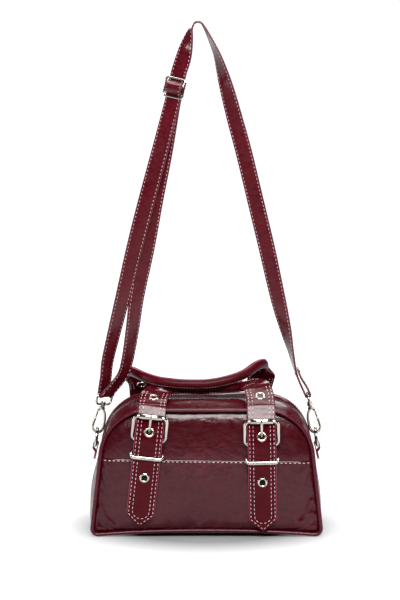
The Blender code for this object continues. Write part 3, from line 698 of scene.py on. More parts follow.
def right_side(inset, corner_steps, side_steps, shoulder_steps):
    """(x, z, normal angle) from the base round the right side to the top."""
    (bx, bz, br, b0, b1), (tx, tz, tr, t0, t1) = arcs(inset)
    points = []
    for k in range(corner_steps + 1):
        a = b0 + (b1 - b0) * k / corner_steps
        points.append((bx + br * cos(a), bz + br * sin(a), a))
    first, last = points[-1], (tx + tr * cos(t0), tz + tr * sin(t0))
    for k in range(1, side_steps):
        f = k / side_steps
        points.append((first[0] * (1 - f) + last[0] * f, first[1] * (1 - f) + last[1] * f, t0))
    for k in range(shoulder_steps + 1):
        a = t0 + (t1 - t0) * k / shoulder_steps
        points.append((tx + tr * cos(a), tz + tr * sin(a), a))
    return points


def outline(inset, steps=(10, 24, 26), top=14):
    """The whole outline, anticlockwise seen from the front, as (x, z, normal angle)."""
    right = right_side(inset, *steps)
    x, z, a = right[-1]
    across = [(x * (1 - 2 * k / top), z, a) for k in range(1, top)]
    low = right[0]
    under = [(-low[0] * (1 - 2 * k / (2 * top)), low[1], low[2]) for k in range(1, 2 * top)]
    return right + across + [(-x, z, pi - a) for x, z, a in reversed(right)] + under


EDGE_LINE = np.array([(x, z) for x, z, _ in outline(0.0, (16, 60, 60), 60)])


def from_edge(x, z):
    """How far a point lies inside the outline."""
    return float(np.sqrt(((EDGE_LINE - (x, z)) ** 2).sum(1)).min())


def arch(x, facing):
    """How far the base rises between the corners that the bag stands on."""
    return (4.2 if facing < 0 else 2.5) * MM * max(0.0, 1 - (x / (112 * MM)) ** 2) ** 0.8


def seam_height(x):
    return SEAM_HEIGHT + 1.9 * MM - 1.5 * MM * (x / (117 * MM))


def waver(*place):
    return noise.noise(Vector(place))


def folds(x, z, facing):
    """Soft unevenness of the panels, mostly creases in the middle of the upper one."""
    broad = waver(x * 26, z * 30, facing * 3.1) * 0.55 * MM
    fine = waver((x * 0.8 + z * 0.6) * 120, (z * 0.8 - x * 0.6) * 55, 4.0 + facing) * 0.16 * MM
    crowd = exp(-((x - 2 * MM) / (42 * MM)) ** 2 - ((z - 108 * MM) / (17 * MM)) ** 2)
    creases = 0.0
    for turn, offset in ((0.5, 0.0), (-0.45, 7.0), (1.1, 13.0)):
        u, v = x * cos(turn) + z * sin(turn), z * cos(turn) - x * sin(turn)
        creases -= max(0.0, 0.16 - abs(waver(u * 60 + offset, v * 190, offset))) / 0.16
    return broad + fine + creases * 0.16 * MM * (0.12 + 0.88 * crowd)


# The panels' leather, from the piping inwards: the turn down to it, the soft rise behind that, and
# the stretch where the unevenness fades in. Above LEAN_FROM the panels lean back.
TURN_REACH, TURN_DEPTH = 3.6 * MM, 2.0 * MM
RISE_REACH, RISE_DEPTH = 18.5 * MM, 4.2 * MM
CALM_REACH = 9.0 * MM
LEAN_FROM, LEAN_REACH, LEAN_BACK = 62.0 * MM, 74.0 * MM, 1.9 * MM


def panel_face(x, z, facing):
    """How far the leather lies from the middle plane."""
    inset = PIPING_INSET
    d = from_edge(x, z) - inset
    across = min(abs(x) / half_width(z, inset), 1.0)
    up = min(abs((z - BODY_HEIGHT / 2) / (BODY_HEIGHT / 2 - inset)), 1.0)
    flatter = 4 if z < BODY_HEIGHT / 2 else 2
    bow = (PANEL_DOME - 0.6 * MM) * (1 - across ** 4) * (1 - up ** flatter)
    near = max(0.0, 1 - max(d, 0.0) / TURN_REACH)
    rise = max(0.0, 1 - max(d, 0.0) / RISE_REACH)
    rolled = TURN_DEPTH * (1 - sqrt(max(0.0, 1 - near ** 2))) + RISE_DEPTH * rise ** 2
    calm = min(1.0, max(d, 0.0) / CALM_REACH)
    back = LEAN_BACK * (max(0.0, z - LEAN_FROM) / LEAN_REACH) ** 2
    return HALF_DEPTH + GAP + bow - back - rolled + folds(x, z, facing) * calm


def spaced(low, high, count, gather=0.55):
    """Numbers from low to high, closer together near both ends."""
    found = []
    for k in range(count + 1):
        t = 2 * k / count - 1
        t = (1 - gather) * t + gather * sin(t * pi / 2)
        found.append(low + (high - low) * (t + 1) / 2)
    return found


def settle(thing, pinned, pressure, frames=18, cap=1.4 * MM):
    """Lets leather sag and puff as cloth held along its seams, and keeps where it comes to rest."""
    scene = bpy.context.scene
    start = np.array([v.co for v in thing.data.vertices])
    group = thing.vertex_groups.new(name="held")
    for index, weight in pinned:
        group.add([index], weight, "REPLACE")
    cloth = thing.modifiers.new("cloth", "CLOTH")
    cloth.settings.vertex_group_mass = "held"
    cloth.settings.quality = 6
    cloth.settings.mass = 0.5
    cloth.settings.tension_stiffness = 60
    cloth.settings.compression_stiffness = 60
    cloth.settings.shear_stiffness = 25
    cloth.settings.bending_stiffness = 2.0
    cloth.settings.shrink_min = -0.012
    cloth.settings.use_pressure = True
    cloth.settings.uniform_pressure_force = pressure
    cloth.settings.effector_weights.gravity = 0.3
    cloth.collision_settings.use_collision = False
    cloth.collision_settings.use_self_collision = False
    cloth.point_cache.frame_start, cloth.point_cache.frame_end = 1, frames
    for frame_number in range(1, frames + 1):
        scene.frame_set(frame_number)
    graph = bpy.context.evaluated_depsgraph_get()
    rested = np.array([v.co for v in thing.evaluated_get(graph).data.vertices])
    moved = rested - start
    far = np.linalg.norm(moved, axis=1)
    moved *= np.minimum(1.0, cap / np.maximum(far, 1e-9))[:, None]
    thing.modifiers.remove(cloth)
    thing.vertex_groups.remove(group)
    thing.data.vertices.foreach_set("co", (start + moved).ravel())
    scene.frame_set(1)


# The leather's thickness, the stitch lines' distances from the panels' seam and from the zip, and
# the height from which the upper panel's rows follow the shoulder
SHEET = 1.2 * MM
SEAM_DOWN = 2.1 * MM
ZIP_SEAM = 5.0 * MM
BEND_FROM = 110.0 * MM


def leather_sheet(name, grid, finish, outward, replaced, thick=SHEET, hold=0.0, pressure=0.0):
    """A sewn piece of leather through rows of points, its thickness inwards.

    With a `hold` it first settles as cloth: its outer two rows are held along the seam, and
    the next two by the share `hold`.
    """
    rows, columns = len(grid), len(grid[0])
    verts = [p for row in grid for p in row]
    faces = []
    for r in range(rows - 1):
        for a in range(r * columns, (r + 1) * columns - 1):
            faces.append((a, a + 1, a + columns + 1, a + columns))
    mesh = built(verts, faces, [finish], sharp=55, recalc=False)
    if mesh.polygons[len(faces) // 2].normal.dot(outward) < 0:
        mesh.flip_normals()
    thing = linked(name, mesh)
    if hold:
        pinned = []
        for r in range(rows):
            for c in range(columns):
                rim = min(r, rows - 1 - r, c, columns - 1 - c)
                pinned.append((r * columns + c, 1.0 if rim < 2 else hold if rim < 4 else 0.0))
        settle(thing, pinned, pressure)
    solid = thing.modifiers.new("solid", "SOLIDIFY")
    solid.thickness, solid.offset = thick, -1
    graph = bpy.context.evaluated_depsgraph_get()
    done = bpy.data.meshes.new_from_object(thing.evaluated_get(graph))
    thing.modifiers.clear()
    thing.data = smoothed(done, 55)
    return attached(thing, "bag", replaced)


def panel_grid(part, facing):
    """Rows of points over the lower or the upper panel, each running from piping to piping."""
    low, high = PIPING_INSET + 0.2 * MM, BODY_HEIGHT - PIPING_INSET - 0.2 * MM
    lower = part == "lower"
    if lower:
        rows = spaced(low, SEAM_HEIGHT, 40, 0.5)
    else:
        _, centre, radius, _, _ = arcs(PIPING_INSET)[1]
        start = np.arcsin((BEND_FROM - centre) / radius)
        bend = [centre + radius * sin(a) for a in np.linspace(start, pi / 2 - 0.035, 20)[1:]]
        rows = spaced(SEAM_HEIGHT - 4 * MM, BEND_FROM, 18, 0.0) + [min(z, high) for z in bend]
    grid = []
    for level in rows:
        row = []
        for u in spaced(-1, 1, 108, 0.5):
            x = half_width(level, PIPING_INSET) * u
            if lower:
                share = (level - low) / (SEAM_HEIGHT - low)
                z = level + (seam_height(x) - SEAM_HEIGHT) * share ** 2 + arch(x, facing) * (1 - share) ** 3
            else:
                share = max(0.0, 1 - (level - SEAM_HEIGHT) / (40 * MM)) ** 2
                z = level + (seam_height(x) - SEAM_HEIGHT) * min(share, 1.0)
            x = half_width(min(max(z, low), high), PIPING_INSET) * u
            y = panel_face(x, max(level, z) if lower else z, facing)
            if lower:
                from_top = SEAM_HEIGHT - level
                y += 0.35 * MM * exp(-(from_top / (5 * MM)) ** 2)
                y += 0.75 * MM * min(1.0, max(0.0, level - 60 * MM) / (18 * MM))
                y -= 0.95 * MM * max(0.0, 1 - from_top / (0.8 * MM)) ** 2
                y -= 0.18 * MM * exp(-((from_top - SEAM_DOWN) / (0.6 * MM)) ** 2)
            else:
                y -= 0.35 * MM * max(0.0, 1 - max(z - seam_height(x), 0.0) / (4 * MM))
            row.append(Vector((x, facing * y, z)))
        grid.append(row)
    return grid


def panels():
    for side, facing in FACES:
        for part in ("lower", "upper"):
            leather_sheet(side + "_" + part + "_leather", panel_grid(part, facing), "panel_leather",
                          BACK * facing, side + "_" + part + "_panel", hold=0.35, pressure=0.4)

        def on_seam(x, _, facing=facing):
            z = seam_height(x) - SEAM_DOWN
            return Vector((x, facing * (panel_face(x, z, facing) + 1.1 * MM), z)), BACK * facing

        reach = half_width(SEAM_HEIGHT, 6 * MM)
        seam = [(x, 0.0) for x in np.linspace(-reach, reach, 60)]
        piece(side + "_seam_stitches", stitches(sewn(seam, 4.7 * MM, 3.0 * MM, on_seam), 0.46 * MM), "bag")


def piping():
    for side, facing in FACES:
        middle, welt = [], []
        for x, z, a in outline(PIPING_INSET):
            lift = arch(x, facing) if z < 8 * MM else 0.0
            wave = waver(x * 30, z * 30, facing * 2.0) * 0.35 * MM
            middle.append(Vector((x, facing * (HALF_DEPTH + wave), z + lift)))
            out = Vector((cos(a), 0, sin(a)))
            welt.append([middle[-1] + out * (o * MM) - BACK * (facing * d * MM) for o, d in (
                (-1.6, 1.0), (1.7, 1.4), (1.6, 4.2), (-1.6, 4.2))])
        u = BACK * facing
        rings = [circle(point, u, ahead.cross(u).normalized(), PIPING_RADIUS, 16)
                 for point, ahead in zip(middle, tangents(middle, True))]
        piece(side + "_piping_cord", skin(rings, ["piping_leather"], loop=True, sharp=70), "bag",
              side + "_piping")
        piece(side + "_piping_welt", skin(welt, ["piping_leather"], loop=True), "bag")


def side_lift(side, z):
    return GUSSET_BULGE[side] * max(0.0, 1 - ((z - BULGE_Z) / BULGE_REACH) ** 2)


EDGE_Y = HALF_DEPTH - PIPING_RADIUS + 0.5 * MM


def rim_roll(y):
    """How far the leather turns in where it meets the piping."""
    near = max(0.0, 1 - (EDGE_Y - abs(y)) / (3.4 * MM))
    return 2.3 * MM * (1 - sqrt(max(0.0, 1 - near ** 2)))


def gussets():
    wall = right_side(SHELL_INSET, 8, 34, 40)[1:]
    for side, s in (("right", 1), ("left", -1)):
        grid = []
        for x, z, a in (q for q in wall if q[1] < GUSSET_TOP + 2.2 * MM):
            out = Vector((s * cos(a), 0, sin(a)))
            row = []
            for y in spaced(-EDGE_Y, EDGE_Y, 46, 0.5):
                lift = side_lift(side, z) + waver(y * 30, z * 34, s * 5.0) * 0.6 * MM
                lift += waver(y * 95, z * 40, s * 9.0) * 0.2 * MM
                lift = lift * (1 - (y / EDGE_Y) ** 2) - rim_roll(y) * min(1.0, z / (9 * MM))
                lift -= 0.9 * MM * max(0.0, (z - GUSSET_TOP) / (2.2 * MM)) ** 2
                row.append(Vector((s * x, y, z)) + out * lift)
            grid.append(row)
        thing = leather_sheet(side + "_side_leather", grid, "side_leather", RIGHT * s, side + "_gusset",
                              hold=0.3, pressure=0.4)
        faces = BVHTree.FromPolygons([v.co for v in thing.data.vertices],
                                     [f.vertices for f in thing.data.polygons])

        def on_side(y, z, s=s, faces=faces):
            place = faces.ray_cast(Vector((s * (HALF_BASE + 9 * MM), y, z)), RIGHT * -s)[0]
            return place, Vector((s, 0, 0.25)).normalized()

        line = [(y, 74.5 * MM) for y in np.linspace(-EDGE_Y + 5 * MM, EDGE_Y - 5 * MM, 30)]
        piece(side + "_side_stitches", stitches(sewn(line, 4.2 * MM, 2.9 * MM, on_side), 0.42 * MM), "bag")

    foot_x, foot_z, _ = wall[0]
    grid = []
    for u in spaced(-1, 1, 60, 0.3):
        x = u * (foot_x + 0.6 * MM)
        row = []
        for v in spaced(-1, 1, 26, 0.5):
            lift = arch(x, -1) * (1 - v) / 2 + arch(x, 1) * (1 + v) / 2
            rise = rim_roll(v * EDGE_Y) * 0.6 + foot_z * max(0.0, abs(u) - 0.9) / 0.1 * 0.6
            row.append(Vector((x, v * EDGE_Y, 0.25 * MM + lift * 0.8 + rise)))
        grid.append(row)
    leather_sheet("base_leather", grid, "panel_leather", -UP, "base_panel", thick=1.6 * MM)


def crown(y, z):
    """How far the top stands above its straight line, with the leather puffed up beside the zip."""
    edge = HALF_DEPTH - PIPING_RADIUS - GAP
    share = min(1.0, max(0.0, (abs(y) - ZIP_HALF) / (EDGE_Y - ZIP_HALF)))
    rise = TOP_CROWN * (1 - min(1.0, abs(y) / edge) ** 3)
    rise *= min(1.0, max(0.0, z - GUSSET_TOP) / CROWN_RISE)
    return rise + PUFF * sin(pi * share ** 0.55) * min(1.0, max(0.0, z - PUFF_FROM) / CROWN_RISE)


def over_line(start, steps=44, top=26):
    """(x, z, normal angle) over the top of the bag from height `start` on the right to the left."""
    _, (tx, tz, tr, _, t1) = arcs(SHELL_INSET)
    turns = np.linspace(np.arcsin((start - tz) / tr), t1, steps)
    right = [(tx + tr * cos(a), tz + tr * sin(a), a) for a in turns]
    x = right[-1][0]
    flat = [(x * (1 - 2 * k / top), right[-1][1], pi / 2) for k in range(1, top)]
    return right + flat + [(-x, z, pi - a) for x, z, a in reversed(right)]


def top_gussets():
    line = over_line(GUSSET_TOP - 1.5 * MM)
    far = lengths([q[:2] for q in line])
    inner = ZIP_HALF - 1.2 * MM
    for side, facing in FACES:
        grid = []
        for x, z, a in line:
            out = Vector((cos(a), 0, sin(a)))
            row = []
            for share in spaced(0, 1, 26, 0.4):
                y = inner + (EDGE_Y - inner) * share
                lift = crown(y, z) - rim_roll(y)
                lift -= 0.8 * MM * max(0.0, 1 - (y - inner) / (1.3 * MM)) ** 2
                lift -= 0.14 * MM * exp(-((y - ZIP_HALF - ZIP_SEAM) / (0.6 * MM)) ** 2)
                calm = min(1.0, share / 0.2, (1 - share) / 0.2)
                lift += waver(x * 34, y * 30, facing * 7.0 + 2) * 0.5 * MM * calm
                lift += waver(x * 110, y * 50, facing * 3.0 + 8) * 0.16 * MM * calm
                row.append(Vector((x, facing * y, z)) + out * lift)
            grid.append(row)
        leather_sheet("top_leather_" + side, grid, "side_leather", UP, "top_gusset_" + side,
                      hold=0.3, pressure=0.3)

        def on_top(s, y, facing=facing):
            x, z, a = read_at(s, far, line)
            out = Vector((cos(a), 0, sin(a)))
            return Vector((x, facing * y, z)) + out * (crown(y, z) - 0.05 * MM), out

        row = [(s, ZIP_HALF + ZIP_SEAM) for s in np.linspace(4 * MM, far[-1] - 4 * MM, 120)]
        piece("zip_stitches_" + side, stitches(sewn(row, 3.0 * MM, 2.1 * MM, on_top), 0.26 * MM,
                                               "wine_thread", holes=False), "bag")


def zipper():
    for side, facing in FACES:
        rings = []
        for x, z, a in over_line(GUSSET_TOP + 1.0 * MM):
            out = Vector((cos(a), 0, sin(a)))
            level = crown(ZIP_HALF, z) - TAPE_DROP
            rings.append([Vector((x, facing * y, z)) + out * (level + h) for y, h in (
                (ZIP_HALF + 1.5 * MM, -0.1 * MM), (6.5 * MM, 0.0), (2.4 * MM, 0.0), (1.5 * MM, 0.35 * MM),
                (0.9 * MM, 0.2 * MM), (0.9 * MM, -TAPE), (ZIP_HALF + 1.5 * MM, -TAPE))])
        piece("zip_tape_weave_" + side, skin(rings, ["tape_weave"], sharp=60), "bag",
              "zipper_tape_" + side)

    toothed = over_line(TEETH_END, 60, 60)
    far = lengths([q[:2] for q in toothed])
    pitch, half, deep = 2.3 * MM, 0.55 * MM, TOOTH / 2
    for side, facing in FACES:
        verts, faces = [], []
        for k in range(int(far[-1] / pitch)):
            x, z, a = read_at((k + (0.25 if facing < 0 else 0.75)) * pitch, far, toothed)
            out, along = Vector((cos(a), 0, sin(a))), Vector((-sin(a), 0, cos(a)))
            centre = Vector((x, 0, z)) + out * (crown(ZIP_HALF, z) - TAPE_DROP - TAPE / 2 + 0.1 * MM)
            base = len(verts)
            for level, size in ((-deep, 0.75), (-deep * 0.55, 1.0), (deep * 0.45, 1.0), (deep, 0.68)):
                for y, w in ((3.0, 0.8), (3.1, 0.0), (3.0, -0.8), (0.9, -1.0), (-0.5, -0.75), (-0.8, 0.0),
                             (-0.5, 0.75), (0.9, 1.0)):
                    inward = (1.2 + (y - 1.2) * (0.86 + 0.14 * size)) * MM
                    verts.append(centre + out * level + along * (half * w * size) + BACK * (facing * inward))
            for a0 in range(base, base + 24, 8):
                faces += [(a0 + i, a0 + (i + 1) % 8, a0 + 8 + (i + 1) % 8, a0 + 8 + i) for i in range(8)]
            faces.append(tuple(base + i for i in reversed(range(8))))
            faces.append(tuple(base + 24 + i for i in range(8)))
        piece("zip_teeth_" + side, built(verts, faces, ["zip_metal"], sharp=35), "bag",
              "zipper_teeth_" + side)


def zip_slider():
    top, under = ZIP_Z + TOOTH / 2 + GAP, ZIP_Z - TOOTH / 2 - GAP
    parts = []
    for low, way in ((top, 1), (under, -1)):
        rings = []
        for x, half in ((-5.0, 2.3), (-4.4, 3.1), (-2.0, 3.9), (1.5, 4.3), (4.2, 4.2), (5.0, 3.4)):
            rings.append([Vector((ZIP_START_X + x * MM, y * half * MM, low + way * h * MM)) for y, h in (
                (-1.0, 0.0), (-1.0, 0.6), (-0.86, 1.0), (0.0, 1.1), (0.86, 1.0), (1.0, 0.6), (1.0, 0.0))])
        parts.append(skin(rings, ["nickel"]))
    post = [Vector((ZIP_START_X + 2.2 * MM, 0, z)) for z in np.linspace(under - 0.5 * MM, top + 0.5 * MM, 4)]
    parts.append(tube(post, 0.9 * MM, RIGHT, "nickel", 10))
    bridge = [Vector((ZIP_START_X + 3.6 * MM * cos(a) - 0.5 * MM, 0, top + 0.8 * MM + 2.75 * MM * sin(a)))
              for a in (pi * k / 14 for k in range(15))]
    parts.append(tube(bridge, 0.75 * MM, BACK, "nickel", 10, flat=1.5))
    piece("zip_slider_body", merged(parts), "zipper_slider", "zipper_slider")

    hinge = Vector((ZIP_START_X - 1.6 * MM, 0, top + 1.95 * MM))
    ring = [hinge + Vector((dx, y, 0)) * MM for dx, y in (
        (-0.1, -2.2), (-0.1, 2.2), (-1.5, 3.1), (-6.2, 3.1), (-6.2, -3.1), (-1.5, -3.1))]
    link = tube(smooth_route(ring + [ring[0]], 5)[:-1], 0.55 * MM, UP, "nickel", 10, loop=True)
    rings = []
    for x, half, thick in ((-17.6, 1.5, 0.3), (-17.2, 2.3, 0.55), (-16.0, 2.7, 0.7), (-12, 2.3, 0.7),
                           (-8.0, 2.6, 0.7), (-6.2, 2.9, 0.65), (-5.8, 2.7, 0.4)):
        rings.append([hinge + Vector((x, half * cos(a), thick * sin(a))) * MM
                      for a in (2 * pi * k / 16 for k in range(16))])
    piece("zip_pull_tab", merged([link, skin(rings, ["nickel"], sharp=50)]), "zipper_pull",
          "zipper_pull")


def inside():
    """The cloth lining and the stiff board under it, which only an open bag would show."""
    heights = [5.4, 8.0, 14.0, 26.0, 40.0, 56.0, 70.0, 84.0, 95.0, 104.0, 112.0]
    depth, wall = 48.6 * MM, 0.9 * MM
    rings = []
    for inner, levels in ((0.0, heights), (wall, heights[::-1])):
        for h in levels:
            level = h * MM + (inner if h == heights[0] else 0.0)
            half, y = half_width(h * MM, 10 * MM) - inner, depth - inner
            ring = []
            for k in range(48):
                a = 2 * pi * (k + 0.5) / 48
                p = Vector((cos(a), sin(a)))
                stretch = 1 / max(abs(p.x), abs(p.y))
                fold = 1 - 0.02 * (0.5 + 0.5 * waver(p.x * 6, p.y * 6, h * 0.03)) * (h > 9)
                ring.append(Vector((p.x * stretch * half * fold, p.y * stretch * y * fold, level)))
            rings.append(ring)
    piece("lining_cloth", skin(rings, ["lining_weave"], sharp=60), "bag", "lining")
    low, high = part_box("base_board")
    bevel = 0.4 * MM
    rings = [[Vector((a, b, z)) for a, b in rounded_loop(high.x - less, high.y - less, 6 * MM - less, 4)]
             for z, less in ((low.z, bevel), (low.z + bevel, 0.0), (high.z - bevel, 0.0), (high.z, bevel))]
    piece("stiffening_board", skin(rings, ["board_fibre"]), "bag", "base_board")


# ---------------------------------------------------------------- belts and buckles
SETS = {"front_left": (-57.0 * MM, radians(6.2), 0.0, 0.0),
        "front_right": (57.0 * MM, radians(-1.2), 4.5 * MM, 0.0),
        "rear_left": (70.0 * MM, radians(1.8), 0.0, pi),
        "rear_right": (-57.0 * MM, radians(0.9), 0.0, pi)}


def stand_of(name):
    """Carries a belt from its own plane to its place on the bag, leaning about its top."""
    middle, lean, _, turn = SETS[name]
    return (Matrix.Rotation(turn, 4, "Z") @ Matrix.Translation((middle, 0, 0))
            @ Matrix.Translation((0, 0, HINGE_Z)) @ Matrix.Rotation(lean, 4, "Y")
            @ Matrix.Translation((0, 0, -HINGE_Z)))


def belt_route(drop):
    """The belt's middle line in its own plane, as (out, height)."""
    over = [(HINGE_Y + 1.6 * MM, HINGE_Z),
            (HINGE_Y + 4.8 * MM - 0.24 * drop, HINGE_Z - 1.2 * MM + 0.05 * drop),
            (BELT_FACE + 1.0 * MM - 0.11 * drop, HINGE_Z - 6.2 * MM - 0.53 * drop),
            (ROLLER_Y - ROLLER_RADIUS - 1.5 * MM, 131.0 * MM - drop)]
    return over + [(BELT_FACE + y * MM, z * MM - drop) for y, z in (
        (4.6, 124.0), (6.1, 117.0), (7.9, 110.0), (8.3, 104.0), (7.6, 98.0), (6.0, 89.0), (6.0, 80.0),
        (2.6, 66.0), (1.8, 44.0), (1.6, 23.5))]


def rounded_loop(half_a, half_b, radius, steps=8):
    points = []
    for ca, cb, start in ((1, 1, 0), (-1, 1, 90), (-1, -1, 180), (1, -1, 270)):
        for k in range(steps + 1):
            a = radians(start + 90 * k / steps)
            points.append((ca * (half_a - radius) + radius * cos(a),
                           cb * (half_b - radius) + radius * sin(a)))
    return points


def grommet(centre, out, deep):
    """A rolled eyelet with a dark disc behind it, which is painted shade in the hole."""
    hole, rim = 3.1 * MM, 5.4 * MM
    ring = [(-deep, hole - 0.1 * MM), (0.35 * MM, hole - 0.1 * MM), (0.85 * MM, hole + 0.35 * MM),
            (1.05 * MM, (hole + rim) / 2), (0.8 * MM, rim - 0.5 * MM), (0.3 * MM, rim), (-0.25 * MM, rim),
            (-0.2 * MM, hole + 0.5 * MM), (-deep, hole + 0.5 * MM)]
    disc = [(-deep - 0.2 * MM, hole + 0.4 * MM), (-deep + 0.1 * MM, hole + 0.4 * MM)]
    return [turned(ring, out, centre, "nickel", hollow=True, sharp=60),
            turned(disc, out, centre, "painted_hole_shade", sides=20)]


def wrapped(bar, thick, foot, face, width, across, up):
    """Leather folded round a bar, its two ends lying flat below it."""
    out = across.cross(up).normalized()
    reach = WIRE + GAP + thick / 2
    front, rear = face + 1.5 * thick, face + 0.5 * thick
    path = [bar + out * depth + up * rise for depth, rise in (
        (front, -foot), (front, -foot * 0.6), (front, -7.5 * MM), (reach * 0.75, -4.2 * MM))]
    path += [bar + reach * (cos(a) * out + sin(a) * up)
             for a in (radians(-25 + 230 * k / 12) for k in range(13))]
    path += [bar + out * depth + up * rise for depth, rise in (
        (rear * 0.9, -6.0 * MM), (rear, -8.5 * MM), (rear, -foot * 0.6), (rear, -foot))]
    track = Track(path, [across] * len(path), 0.8 * MM)
    return ribbon(track, lambda s: width / 2, thick * 0.92, ["belt_leather", "edge_paint"], columns=6)


def buckle_set(name):
    stand, drop = stand_of(name), SETS[name][2]
    bar = FRONT * LOWER_BAR_Y + UP * (LOWER_BAR_Z - drop)
    top = FRONT * ROLLER_Y + UP * (ROLLER_Z - drop)

    def add(part, mesh, body, replaced=None):
        mesh.transform(stand)
        piece(name + "_" + part, mesh, body, replaced and name + "_" + replaced)

    points = [FRONT * y + UP * z for y, z in belt_route(drop)[3:]]
    tip = points[-1] - UP * BELT_POINT
    points += [points[-1] - UP * BELT_POINT * 0.5 + BACK * 0.05 * MM, tip]
    track = Track(points, [RIGHT] * len(points), 0.75 * MM)
    full, length = BELT_WIDTH / 2, track.length

    def half(s):
        return full * min(1.0, max(0.04, (length - s) / BELT_POINT))

    # The point wears a darker copy of the belt leather: painted shade.
    mesh = ribbon(track, half, BELT, ["point_leather_painted_shade", "edge_paint"], BELT_SEAMS, 0.22 * MM,
                  len(name) * 1.7, ends=0)
    rings = []
    for height in (EYELET_Z - drop, EYELET_Z - drop - EYELET_GAP):
        point, _, out = track.read(float(np.interp(-height, -track.line[:, 2], track.at)))
        # The hole's walls take the dark hole material: painted shade.
        mesh = cut(mesh, turned([(-4 * MM, 3.4 * MM), (4 * MM, 3.4 * MM)], out, point, "painted_hole_shade", 24))
        rings += grommet(point + out * (BELT / 2), out, 1.9 * MM)
    add("belt_strap", smoothed(mesh, 45), "bag", "belt")
    add("eyelets", merged(rings), "bag")

    def surface(w, s):
        point, wide, out = track.read(s)
        return point + wide * w + out * (BELT / 2), out

    start, low = 5.0 * MM, length - BELT_POINT
    outer, inner = (full - inset for inset in BELT_SEAMS)
    bend_from = low - 5.2 * MM
    lines = [[(w, start), (w, low - 1.0 * MM), (0.0, length - 3.1 * MM)] for w in (-outer, outer)]
    lines += [[(-inner, start), (-inner, bend_from)],
              [(inner * cos(a), bend_from + inner * 0.95 * sin(a)) for a in np.linspace(pi, 0, 15)],
              [(inner, bend_from), (inner, start)]]
    spans = [span for line in lines for span in sewn(line, *BELT_SEWING, surface)]
    add("belt_stitches", stitches(spans, 0.35 * MM), "bag")

    rise = top - bar
    loop = [(bar + top) / 2 + RIGHT * a + rise.normalized() * b
            for a, b in rounded_loop(FRAME_HALF, rise.length / 2, 5.5 * MM)]
    add("frame", tube(loop, WIRE * 1.08, rise.cross(RIGHT), "nickel", 18, loop=True, flat=0.86), "bag",
        "buckle_frame")

    bore, edge = WIRE + 0.35 * MM, 0.45 * MM
    sleeve = [(-ROLLER_HALF, bore), (-ROLLER_HALF, ROLLER_RADIUS - edge),
              (-ROLLER_HALF + edge, ROLLER_RADIUS), (ROLLER_HALF - edge, ROLLER_RADIUS),
              (ROLLER_HALF, ROLLER_RADIUS - edge), (ROLLER_HALF, bore)]
    add("roller_sleeve", turned(sleeve, RIGHT, top, "nickel", 36, hollow=True, sharp=50), name + "_roller",
        "roller")

    hook = [bar + (WIRE + GAP + PRONG_WIRE) * (FRONT * sin(a) + UP * cos(a))
            for a in (radians(-235 + 215 * k / 14) for k in range(15))]
    hook += smooth_route([bar + FRONT * a * MM + UP * b * MM for a, b in (
        (1.2, 7.0), (3.4, 10.0), (5.2, 12.2), (7.2, 16.0), (8.5, 22.0), (8.7, 26.0), (8.2, 28.2))], 5)
    add("prong_pin", capped(hook, PRONG_WIRE * 1.2, RIGHT, "nickel", 14, flat=1.25), name + "_prong", "prong")

    mesh = wrapped(bar, 1.0 * MM, 33 * MM, BELT_FACE - LOWER_BAR_Y, 24 * MM, RIGHT, UP)
    corners = ((-2.6, -4.4), (2.6, -4.4), (2.6, 9), (-2.6, 9))
    slot_for_prong = skin([[bar + Vector((x, y, z)) * MM for x, z in corners] for y in (-8, 8)],
                          ["belt_leather"])
    add("buckle_strap", smoothed(cut(mesh, slot_for_prong), 45), "bag", "buckle_tab")

    centre = FRONT * (BELT_FACE + 6.0 * MM) + UP * (KEEPER_Z - drop)
    reach = BELT_WIDTH / 2 + 1.6 * MM
    loop = [centre + RIGHT * a + FRONT * b
            + UP * (3.6 * MM * (a / reach) ** 4 - (0.9 * MM if b > 0 else -1.5 * MM))
            for a, b in rounded_loop(reach, BELT / 2 + 1.8 * MM, 2.6 * MM)]
    add("keeper_loop", tube(loop, 1.45 * MM, UP, "nickel", 16, loop=True, flat=1.4), "bag", "keeper")


# ---------------------------------------------------------------- handles
ROLL_FROM = {"front": 40.0 * MM, "rear": 24.0 * MM}
HANDLES = {
    "front": (-1, ("front_left", "front_right"), (
        (-55.5, -43, 148), (-53, -30, 150.6), (-49.5, -18, 150.8), (-41, -8.5, 150.4),
        (-25, -4.2, 150.4), (0, -4, 150.3), (26, -5, 151.6), (40, -10, 154.3), (48.5, -20, 157.6),
        (53, -32, 157.2), (56, -43, 151))),
    "rear": (1, ("rear_left", "rear_right"), (
        (-71.5, 45, 149.5), (-79, 36, 160.5), (-79, 20, 165.5), (-67, 0, 163.2),
        (-53, -11, 160.4), (-40, -15, 158.9), (-25, -16.8, 157.8), (0, -17, 157.9), (22, -14, 161.4),
        (40, -6, 166.6), (54, 8, 173.8), (62, 22, 173), (60, 38, 157)))}


